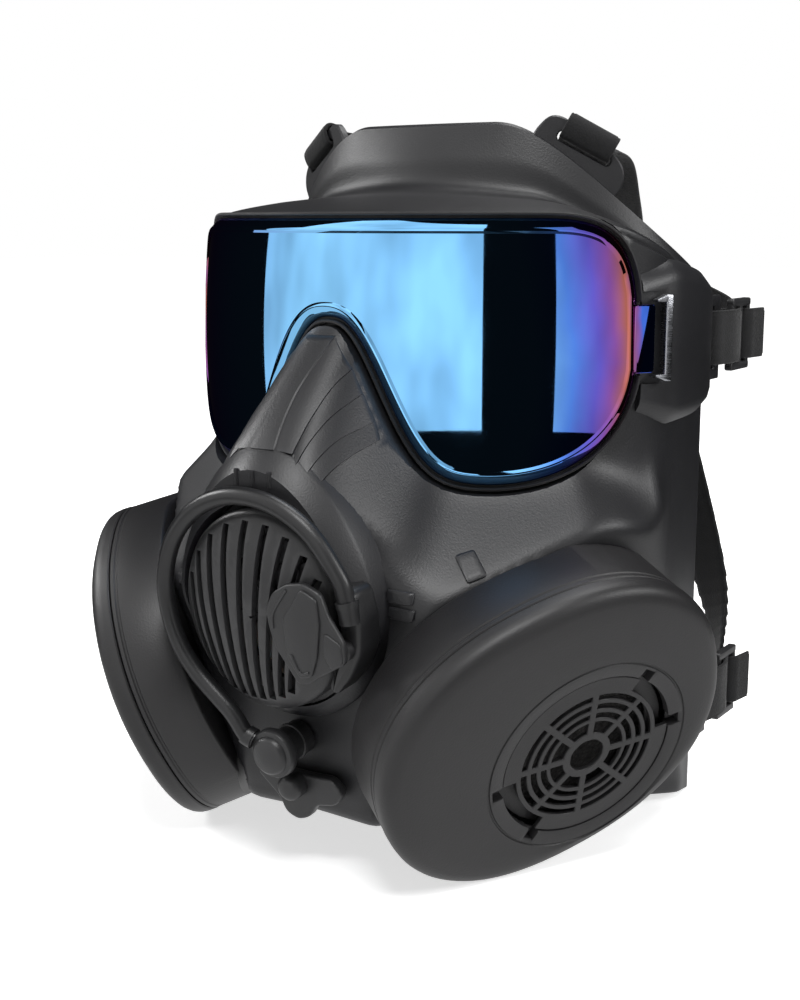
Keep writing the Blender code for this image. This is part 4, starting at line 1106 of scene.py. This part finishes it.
def cap_shape():
    angles = cap_angles()
    ray = rays(angles)
    off = pocket_share(angles)
    hole = np.where((off > 20.0) & (off < 28.0), 35.0, GRILLE_R + 0.35)

    def near(radius, w):
        reach = np.maximum(hole + (0.0 if radius < 32 else 0.4), radius)
        return ray * reach[:, None] + GRILLE_AT, w

    def edge(inset, w, share=1.0):
        reach = np.full(len(angles), 40.0)
        for _ in range(14):
            point = ray * reach[:, None] + GRILLE_AT
            around = np.arctan2(point[:, 1], point[:, 0])
            reach += can_outline(around, inset) - np.linalg.norm(point, axis=1)
        reach = 37.2 + (reach - 37.2) * share
        return ray * reach[:, None] + GRILLE_AT, w

    rows = [near(0, -2.4), near(0, 0.75), near(32, 1.2), near(36.2, 1.42), near(36.45, 1.0)]
    rows += [near(36.9, 1.0), near(37.2, 1.45), edge(6.0, 1.75, 0.4), edge(6.0, 1.72, 0.75)]
    rows += [edge(5.4, 1.5), edge(4.0, 1.1), edge(2.7, 0.55), edge(1.6, -0.25), edge(0.8, -1.3)]
    rows += [edge(0.3, -2.6), edge(0.15, -4.3), edge(0.2, -6.5), edge(0.6, -6.95), edge(3.4, -7.0)]
    rows += [edge(3.7, -12.0), edge(5.6, -12.0), edge(5.2, -3.2), near(38.0, -3.2)]
    return loft([ring_at(can_frame(), outline, w) for outline, w in rows], loop=True)


def grille_shape():
    """The round insert: a hub with windows, three rings of arc slots and two recesses."""
    radii = [6.2, 9.0, 13.6, 15.0, 17.1, 18.7, 20.8, 22.4, 24.5, 26.2, GRILLE_R]
    per = 12
    plan = np.zeros((len(radii), 8 * per, 2))
    for i, r in enumerate(radii):
        half = math.degrees(math.asin(1.15 / r))
        for k in range(8):
            steps = np.concatenate([[-half], np.linspace(half, 45.0 - half, per)[:-1]])
            turn = np.radians(k * 45.0 + 7.0 + steps)
            start = k * per
            plan[i, start:start + per] = rays(turn) * r
    middle = np.degrees(np.arctan2(plan[-2, :, 1], plan[-2, :, 0])) + 1.9

    def keep(ring, sector):
        if ring == 9:
            return pocket_share(np.radians([middle[sector]]))[0] > 27.0
        return sector % per == 0 or ring in (0, 2, 4, 6, 8)

    shapes = [cell_plate(can_frame(), plan + np.array(GRILLE_AT), keep, -1.1, 0.55)]
    floor = [(25.2, -4.9), (25.2, -4.1), (GRILLE_R, -4.1), (GRILLE_R, -4.9)]
    shapes.append(turned(can_frame(), floor, GRILLE_AT, 96, loop=True))
    for middle_deg in RECESSES:
        turn = np.radians(middle_deg + np.linspace(-27.0, 27.0, 30))
        line = ring_at(can_frame(), rays(turn) * 33.2 + GRILLE_AT, -2.0)
        shapes.append(sweep(line, CAN_W, [(-0.4, -2.2), (0.4, -2.2), (0.4, 1.6), (-0.4, 1.6)]))
    return shapes


def build_filters():
    build_housing()
    cap, grille = cap_shape(), grille_shape()
    for name, sign in SIDES:
        face = write_mesh(f"filter_face_{name}", [flipped(cap, sign)])
        dress(face, "filter", f"cap_{name}", f"filter_cap_{name}", "hard_polymer", 35.0)
        insert = write_mesh(f"grille_face_{name}", [flipped(shape, sign) for shape in grille])
        soften(insert, 0.0003)
        node = f"filter_grille_{name}"
        dress(insert, "filter", f"grille_{name}", node, "hard_polymer", 50.0)


# ---------------------------------------------------------------- outlet module


def cover_slots():
    """Nine curved slots that fan out upwards across the cover, as (u, v) control points."""
    slots = []
    for number in range(9):
        turn = math.radians(-70.0 + 16.5 * number)
        top = np.array([28.0 * math.sin(turn), 30.5 * math.cos(turn)])
        u = -20.6 + 4.0 * number
        low = np.array([u, -29.6 * math.sqrt(1.0 - ((u + 3.6) / 28.0) ** 2)])
        slots.append([top, (top + low) / 2 - (1.0, 0.0), low])
    return slots


def dome_height(share):
    """Height of the cover's outside over the module, from its middle out to its rim."""
    inset = (0.0, 0.35, 1.2, 2.6, 4.6, 7.6, 12.0, 18.0, 26.0, 33.5)
    height = (12.6, 14.2, 15.3, 16.3, 17.2, 18.2, 19.2, 20.0, 20.5, 20.6)
    return np.interp(share, inset, height)


def build_outlet_cover():
    axes = out_frame()

    def ring(inset, w):
        a, b = 31.0 - inset * 31.0 / 33.5, 33.5 - inset
        return ring_at(axes, ellipse(max(a, 0.4), max(b, 0.4), 120), w)

    outer = (33.0, 30.0, 26.0, 22.0, 18.0, 15.0, 12.0, 9.8, 7.6, 6.0, 4.6, 3.6, 2.6, 1.9, 1.2, 0.7,
             0.35, 0.18, 0.0)
    rings = [ring(2.6, 8.0)]
    rings += [ring(inset, dome_height(inset) - 2.3) for inset in (3.0, 7.6, 14.0, 22.0, 33.0)]
    rings += [ring(inset, dome_height(inset)) for inset in outer]
    rings += [ring(0.0, 8.3), ring(0.4, 8.0)]
    cover = write_mesh("outlet_grille", [loft(rings, loop=True)])
    blade = [(-1.3, -7.0), (1.3, -7.0), (1.3, 7.0), (-1.3, 7.0)]
    lines = [frame_points(axes, along_z(bend(slot, 7), 17.0)) for slot in cover_slots()]
    carve(cover, *[sweep(line, axes[1], blade) for line in lines])
    soften(cover, 0.00028, 2, 45.0)
    evaluated_copy(cover)
    dress(cover, "hard", "facepiece", "outlet_cover", "hard_polymer")

    bars = []
    section = rounded([(-1.2, -0.9), (1.2, -0.9), (1.2, 0.9), (-1.2, 0.9)], 0.4, 3)
    for v in (16.0, -1.5, -17.0):
        half = 25.0 * math.sqrt(1.0 - (v / 30.0) ** 2)
        u = np.linspace(-half, half, 15)
        path = np.column_stack([u, v + 0.004 * u * u, 12.6 + 2.6 * np.cos(u / 20.0)])
        bars.append(sweep(frame_points(axes, path), axes[2], section))
    piece("outlet_grille_bars", bars, "trim", "facepiece", "outlet_cover", "hard_polymer")


def tube_path():
    points = []
    for degrees in (2.0, 14.0, 25.0, 50.0, 75.0, 100.0, 125.0, 150.0, 175.0, 200.0, 222.0):
        a = math.radians(degrees)
        points.append((37.0 * math.cos(a), 1.5 + 37.5 * math.sin(a), 18.2))
    points += [(-14.5, -36.0, 17.6), (-10.2, -43.0, 16.8), (-6.4, -45.2, 16.2)]
    return frame_points(out_frame(), np.array(points))


def build_tube():
    axes = out_frame()
    path = bend(tube_path(), 9)
    shapes = [sweep(path, axes[3], circle(2.9, 24))]
    for at, length, radius in ((0, 7, 3.45), (6, 3, 3.7), (len(path) - 9, 8, 3.5)):
        shapes.append(sweep(path[at:at + length], axes[3], circle(radius, 24)))
    piece("drinking_hose", shapes, "trim", "facepiece", "drink_tube", "hard_polymer")


# the lever's plate, its raised field and its boss, as (u, v) corners on the outlet module
PADDLE = ((12.7, 11.4), (18.2, 14.6), (24.6, 15.7), (30.6, 13.2), (33.2, 6.0), (38.2, -1.6),
          (38.4, -8.2), (33.0, -11.4), (28.0, -14.4), (24.1, -17.2), (19.8, -17.8),
          (15.6, -11.8), (12.2, -7.2), (10.2, -0.6), (9.4, 5.5))
PADDLE_FIELD = ((16.6, 3.8), (24.4, 14.2), (29.8, 11.6), (30.4, 3.6), (28.6, -7.4),
                (26.0, -14.2), (21.6, -15.4), (17.0, -8.8))
PADDLE_BOSS = ((31.6, 1.2), (37.4, -1.8), (38.0, -8.0), (33.4, -10.8), (30.6, -6.0))


def build_lever():
    """The lever with the relief on its plate, and the post and bracket that carry it."""
    axes = out_frame()

    def bead(points, steps, height, radius):
        line = frame_points(axes, along_z(bend(points, steps), height))
        return sweep(line, axes[3], circle(radius, 10))

    shapes = [
        slab(axes, rounded(PADDLE, 1.6, 5), 22.3, 24.6, 0.7),
        slab(axes, rounded(PADDLE_FIELD, 1.4, 5), 23.8, 25.7, 0.6),
        bead([(18.3, 12.9), (12.7, 5.0), (11.9, -0.4)], 8, 24.6, 0.5),
        bead([(19.0, -7.6), (22.0, -13.2), (25.4, -12.6)], 6, 25.7, 0.45),
        slab(axes, rounded(PADDLE_BOSS, 1.5, 5), 23.8, 25.2, 0.5),
    ]
    piece("lever_paddle", shapes, "hard", "lever", "drink_lever", "hard_polymer")

    pivot = out_frame((34.8, -6.0, 0.0))
    bracket = [(31.2, 13.5), (38.4, 12.6), (40.6, 3.0), (40.0, -7.0), (36.0, -15.0)]
    bracket += [(29.6, -22.4), (26.6, -20.6), (31.0, -10.0), (32.2, 0.0)]
    shapes = [turned(pivot, [(3.4, 10.0), (3.4, 21.2), (2.8, 21.8)], sides=40)]
    shapes.append(slab(axes, rounded(bracket, 2.2, 5), 7.0, 18.6, 1.6))
    piece("lever_post", shapes, "trim", "facepiece", "lever_pivot", "hard_polymer")


def build_chin_parts():
    """The coupling under the outlet, and the knob and bracket below it."""
    axes = out_frame()
    seat = out_frame((1.0, -48.5, 0.0))
    profile = [(5.9, 2.0), (5.9, 6.0), (6.4, 6.2), (6.4, 7.4), (5.9, 7.6), (5.9, 13.6)]
    profile += [(6.6, 14.0), (8.0, 14.2), (8.35, 14.8), (8.35, 17.0), (7.9, 17.8), (6.6, 18.2)]
    profile += [(6.2, 19.6), (5.2, 20.4), (1.0, 20.7)]
    coupling = [turned(seat, profile)]
    piece("chin_coupling", coupling, "hard", "facepiece", "coupling_body", "hard_polymer")

    dome = [(4.4, 4.6), (4.5, 5.0), (4.5, 8.4), (4.15, 9.6), (3.4, 10.4)]
    dome += [(2.2, 10.9), (0.8, 11.05)]
    knob = [turned((np.array([*CHIN_AT, 31.0]), *axes[1:]), dome, sides=48)]
    piece("chin_knob", knob, "hard", "knob", "coupling_cap", "hard_polymer", 50.0)

    lobes = [(-17.0, 4.0), (-13.0, 7.5), (-5.0, 6.5), (5.0, 6.5), (14.0, 7.0), (18.5, 2.5)]
    lobes += [(15.0, -2.5), (7.0, -4.0), (4.0, -9.0), (-1.0, -11.0), (-6.0, -9.0), (-8.0, -4.0)]
    at = (np.array([*CHIN_AT, 28.0]), *axes[1:])
    bracket = [slab(at, rounded(lobes, 2.2, 5), 0.0, 4.2, 1.0)]
    piece("chin_bracket", bracket, "hard", "facepiece", "chin_plate", "hard_polymer")


# ---------------------------------------------------------------- harness


def ribbed(path, side, width):
    """Webbing along a path, with the fine cross ribs of a plain weave."""
    pitch, relief = 1.35, 0.16
    path = np.asarray(path, float)
    steps = np.linalg.norm(np.diff(path, axis=0), axis=1)
    length = np.concatenate([[0], np.cumsum(steps)])
    at = np.linspace(0.0, length[-1], int(length[-1] / (pitch / 4.0)) + 1)
    line = np.column_stack([np.interp(at, length, path[:, k]) for k in range(3)])
    side = np.asarray(side, float)
    if side.ndim == 2:
        side = np.column_stack([np.interp(at, length, side[:, k]) for k in range(3)])
    section = webbing_section(width, STRAP_THICK)
    across, out = section_axes(smoothed(line), side)
    grow = relief * np.abs(np.cos(at * 2 * math.pi / pitch))
    raised = [math.copysign(1.0, b) * (abs(a) < width / 2 - 0.9) for a, b in section]
    rings = []
    for p, s, o, g in zip(line, across, out, grow):
        rings.append([p + s * a + o * (b + g * r) for (a, b), r in zip(section, raised)])
    return loft(rings)


def smoothed(line, rounds=3):
    """The line with its bends evened out, so that the ribs don't fold over on them."""
    line = np.array(line)
    for _ in range(rounds):
        line[1:-1] = (line[:-2] + line[1:-1] * 2 + line[2:]) / 4
    return line


def webbing_section(width, thick):
    w, h = width / 2, thick / 2
    edge = [(-w, -h * 0.4), (-w + 0.35, -h), (-w + 0.9, -h * 0.82)]
    inner = [(a, -h) for a in np.linspace(-w + 1.4, w - 1.4, 8)]
    low = edge + inner + [(w - 0.9, -h * 0.82), (w - 0.35, -h), (w, -h * 0.4)]
    return low + [(a, -b) for a, b in low[::-1]]


def loop_plan():
    """The webbing loop through a rear tab and a buckle, seen from above."""
    points = [(82.2, 82.2), (79.7, 83.4), (79.2, 88.0), (80.1, 94.0), (81.2, 99.0), (81.9, 102.7)]
    points += [(84.0, 104.0), (86.1, 102.7), (86.8, 99.0), (86.9, 94.0), (86.0, 88.0), (84.9, 83.4)]
    return np.array(points)


def strap_path(z, z_end):
    y = BUCKLE_Y
    path = [(88.2, y + 15.0, z), (87.3, y + 9.0, z), (86.6, y + 5.2, z), (84.0, y + 3.8, z)]
    path += [(81.0, y + 5.2, z), (79.6, y + 9.0, z), (77.0, y + 14.0, z)]
    path += [(68.0, y + 24.0, 0.7 * z + 0.3 * z_end)]
    path += [(38.0, y + 34.0, z_end), (26.0, y + 37.2, z_end)]
    return bend(path, 10)


def upper_path():
    origin, across, up, out = tab_frame(1)
    start = origin + 5.9 * up
    near = [(-1.5, -7.0), (0.0, -2.5), (0.1, 1.6), (1.8, 2.8)]
    near += [(5.5, 2.9), (7.9, 0.8), (7.6, -2.2), (4.4, -6.0)]
    points = [start + up * a + out * b for a, b in near]
    points += [(49.0, 53.0, 241.0), (44.0, 74.0, 236.0), (34.0, 102.0, 224.0)]
    points += [(22.0, 133.0, 213.0), (15.5, 147.2, 203.0), (13.0, 148.8, 186.0)]
    path = bend(points, 10)
    share = smooth((np.arange(len(path)) - 70.0) / 30.0)[:, None]
    return path, across * (1.0 - share) + np.array([1.0, 0.15, 0.0]) * share


def buckle_shapes(z, width):
    """A ladder buckle: two side rails and three bars with round edges."""
    axes = (np.array([84.0, BUCKLE_Y, z]), np.array([0.0, 1.0, 0.0]), UP, np.array([1.0, 0.0, 0.0]))
    half = width / 2 + 3.5
    shapes = []
    for sign in (1, -1):
        v0, v1 = sorted((sign * (half - 3.0), sign * half))
        rail = rounded([(-9, v0), (9, v0), (9, v1), (-9, v1)], 1.1, 4)
        shapes.append(slab(axes, rail, -1.5, 1.5, 0.5))
    end = half - 0.8
    for u0, u1 in ((-9.0, -6.2), (-1.4, 1.4), (6.2, 9.0)):
        bar = rounded([(u0, -end), (u1, -end), (u1, end), (u0, end)], 0.9, 4)
        shapes.append(slab(axes, bar, -1.45, 1.45, 0.9))
    return shapes


def pad_shape():
    """The crowned head pad, fuller in the middle, and a rib of binding round its edge."""
    columns, rows = 61, 49
    front, back = [], []
    for t in np.linspace(-1.0, 1.0, columns):
        line_f, line_b = [], []
        for s in np.linspace(-1.0, 1.0, rows):
            edge = 1.0 - max(abs(t), abs(s)) ** 6
            corner = 1.0 - 0.06 * (abs(t) ** 4) * (abs(s) ** 4)
            x, z = t * 34.0 * corner, 168.0 + s * 31.0 * corner
            y = 144.0 - 8.0 * (x / 34.0) ** 2
            puff = 1.3 + 0.6 * edge
            seam = 0.45 * math.exp(-((max(abs(t), abs(s)) - 0.86) / 0.018) ** 2)
            line_f.append((x, y - puff + seam, z))
            line_b.append((x, y + puff - seam, z))
        front.append(line_f)
        back.append(line_b)
    return sheet(np.array(front), np.array(back), bulge=0.4)


def build_harness():
    pad = piece("head_cushion", [pad_shape()], "pad", "facepiece", "head_pad", "webbing", 60.0)

    def strap(name, shape, node):
        piece(name, [shape], "webbing", "facepiece", node, "webbing", 60.0)

    levels = (("temple", STRAP_HEIGHTS[0], 186.0), ("jaw", STRAP_HEIGHTS[1], 149.0))
    upper = ribbed(*upper_path(), STRAP_WIDTH)
    for name, sign in SIDES:
        strap(f"upper_webbing_{name}", flipped(upper, sign), f"upper_strap_{name}")
        for level, z, end in levels:
            ring = bend(along_z(loop_plan(), z), 10, closed=True)
            loop = ribbed(np.vstack([ring, ring[:1]]), UP, LOOP_WIDTH)
            rear = ribbed(strap_path(z, end), UP, STRAP_WIDTH)
            strap(f"{level}_webbing_loop_{name}", flipped(loop, sign), f"{level}_loop_{name}")
            strap(f"{level}_webbing_{name}", flipped(rear, sign), f"{level}_strap_{name}")
            ladder = [flipped(shape, sign) for shape in buckle_shapes(z, LOOP_WIDTH)]
            node = f"{level}_buckle_{name}"
            piece(f"{level}_ladder_{name}", ladder, "hard", "facepiece", node, "hard_polymer", 45.0)


# ---------------------------------------------------------------- pieces kept from the CAD


def refine(name, look, bevel, sharp_deg=35.0, subdivide=0):
    """A CAD piece that stays: merged corners, softened edges and its own material."""
    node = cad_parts[name]
    weld = node.modifiers.new("weld", "WELD")
    weld.merge_threshold = 0.00002
    if bevel:
        soften(node, bevel, 2, 40.0)
    if subdivide:
        rounder = node.modifiers.new("rounder", "SUBSURF")
        rounder.levels = rounder.render_levels = subdivide
    shade(node, MATERIAL[look], sharp_deg)


def refine_kept_nodes():
    refine("face_seal", "seal", 0.0006, 50.0)
    refine("nose_cup", "silicone", 0.0, 60.0, subdivide=2)
    refine("inner_lens", "clear", 0.0003, 30.0)
    refine("outlet_body", "trim", 0.0004)
    refine("exhale_seat", "trim", 0.0002)
    refine("exhale_disc", "flap", 0.0002)
    refine("speech_diaphragm", "diaphragm", 0.0001)
    refine("diaphragm_ring", "trim", 0.0003)
    for name, _ in SIDES:
        refine(f"lens_latch_{name}", "steel", 0.0002)
        refine(f"particulate_pad_{name}", "paper", 0.0006)
        refine(f"carbon_bed_{name}", "carbon", 0.0004)
        refine(f"inlet_port_{name}", "hard", 0.0004)
        refine(f"inhale_seat_{name}", "trim", 0.0002)
        refine(f"inhale_disc_{name}", "flap", 0.0002)


# ---------------------------------------------------------------- studio


def emissive(name, strength):
    g = Graph(name)
    g.set(Base_Color=(0, 0, 0, 1), Roughness=1.0, Specular_IOR_Level=0.0)
    g.set(Emission_Color=(1, 1, 1, 1), Emission_Strength=strength)
    return g


def stage_mesh(name, points, faces, graph):
    mesh = bpy.data.meshes.new(name)
    mesh.from_pydata(points, [], faces)
    mesh.materials.append(graph.material)
    obj = bpy.data.objects.new(name, mesh)
    bpy.context.scene.collection.objects.link(obj)
    return obj


def for_reflections_only(obj):
    obj.visible_camera = obj.visible_diffuse = obj.visible_shadow = False
    obj.visible_transmission = False


def reflected_panel(name, azimuths, low_deg, high_deg, strength):
    """A curved softbox round the object that only reflections see."""
    columns, rows = 16, 8
    points, faces = [], []
    for a in np.radians(np.linspace(*azimuths, columns)):
        for e in np.radians(np.linspace(low_deg, high_deg, rows)):
            level = math.cos(e)
            away = np.array([math.sin(a) * level, -math.cos(a) * level, math.sin(e)])
            points.append(tuple(away * PANEL_DISTANCE + PANELS_ROUND))
    for i in range(columns - 1):
        for k in range(i * rows, (i + 1) * rows - 1):
            faces.append((k, k + rows, k + rows + 1, k + 1))
    glow = emissive(name, strength)
    patchy = glow.node("ShaderNodeTexNoise", {"Vector": glow.place}, Scale=2.6)
    levels = glow.node("ShaderNodeMapRange", {"Value": patchy.outputs["Fac"]},
                       From_Min=0.3, From_Max=0.7, To_Min=0.62 * strength, To_Max=1.15 * strength)
    glow.link("Emission Strength", levels.outputs["Result"])
    for_reflections_only(stage_mesh(name, points, faces, glow))


def area_light(name, at, target, size, power, receivers):
    data = bpy.data.lights.new(name, "AREA")
    data.shape, data.size, data.energy = "DISK", size, power
    light = bpy.data.objects.new(name, data)
    bpy.context.scene.collection.objects.link(light)
    light.location = at
    aim = np.asarray(target, float) - np.asarray(at, float)
    yaw, pitch = math.atan2(aim[0], -aim[1]), math.acos(-aim[2] / np.linalg.norm(aim))
    light.rotation_euler = (pitch, 0.0, yaw + math.pi)
    light.visible_camera = False
    light.light_linking.receiver_collection = receivers


def build_world():
    """White to the camera, dim to the surfaces and nearly black to reflections."""
    world = bpy.data.worlds.new("studio")
    bpy.context.scene.world = world
    world.use_nodes = True
    tree = world.node_tree
    rays = tree.nodes.new("ShaderNodeLightPath")

    def background(level, strength):
        made = tree.nodes.new("ShaderNodeBackground")
        made.inputs["Color"].default_value = (level, level, level, 1)
        made.inputs["Strength"].default_value = strength
        return made.outputs[0]

    def choose(ray, otherwise, then):
        made = tree.nodes.new("ShaderNodeMixShader")
        for socket, source in zip(made.inputs, (rays.outputs[ray], otherwise, then)):
            tree.links.new(source, socket)
        return made.outputs[0]

    seen = choose("Is Camera Ray", background(1.0, 0.22), background(1.0, 1.0))
    seen = choose("Is Glossy Ray", seen, background(0.005, 1.0))
    tree.links.new(seen, tree.nodes["World Output"].inputs["Surface"])


def build_floor():
    """A pale floor that glows up to white with distance, and a disc only reflections see."""
    floor = Graph("studio_floor")
    floor.set(Base_Color=(0.93, 0.93, 0.93, 1), Roughness=0.9, Specular_IOR_Level=0.1)
    floor.set(Emission_Color=(1, 1, 1, 1))
    distance = floor.node("ShaderNodeVectorMath", {"Vector": floor.place}, operation="LENGTH")
    glow = floor.ramp(distance.outputs["Value"], (0.20, 0.62), (0.60, 1.0))
    floor.link("Emission Strength", glow)
    half = 6.0
    corners = [(-half, -half, 0), (half, -half, 0), (half, half, 0), (-half, half, 0)]
    ground = stage_mesh("studio_ground", corners, [(0, 1, 2, 3)], floor)
    ground.visible_glossy = False
    card = [(x, y, 0.0004) for x, y in circle(0.37, 48)]
    card = stage_mesh("floor_card", card, [tuple(range(48))], emissive("floor_card", 0.8))
    for_reflections_only(card)


def build_camera():
    data = bpy.data.cameras.new("camera")
    data.lens, data.sensor_fit = CAMERA_LENS, "VERTICAL"
    data.sensor_width = data.sensor_height = 36.0
    camera = bpy.data.objects.new("camera", data)
    bpy.context.scene.collection.objects.link(camera)
    camera.location = CAMERA_AT
    camera.rotation_euler = (math.radians(CAMERA_PITCH), 0.0, math.radians(CAMERA_YAW))
    bpy.context.scene.camera = camera


def build_studio():
    bpy.context.scene.view_settings.view_transform = "Standard"
    build_world()
    build_floor()
    reflected_panel("softbox_front", (-64.0, 27.0), -15.0, 70.0, 1.15)
    reflected_panel("softbox_side", (53.0, 86.0), -15.0, 60.0, 0.8)

    # the lens reflects only the softboxes, so the lamps leave it out
    receivers = bpy.data.collections.new("lamp_receivers")
    receivers.objects.link(bpy.data.objects["lens_surface"])
    receivers.collection_objects[0].light_linking.link_state = "EXCLUDE"
    area_light("key", (0.35, -0.60, 1.20), (0.0, 0.0, 0.14), 0.40, 9.5, receivers)
    area_light("side", (1.15, 0.25, 0.70), (0.0, 0.0, 0.12), 0.45, 6.5, receivers)
    area_light("far_side", (-1.1, -0.25, 0.75), (0.0, 0.0, 0.12), 0.45, 6.5, receivers)
    area_light("top", (0.05, 0.35, 1.2), (0.0, 0.0, 0.15), 0.6, 7.0, receivers)
    build_camera()


build_lens()
build_visor_frame()
build_shell()
build_filters()
build_outlet_cover()
build_tube()
build_lever()
build_chin_parts()
build_harness()
refine_kept_nodes()
build_studio()
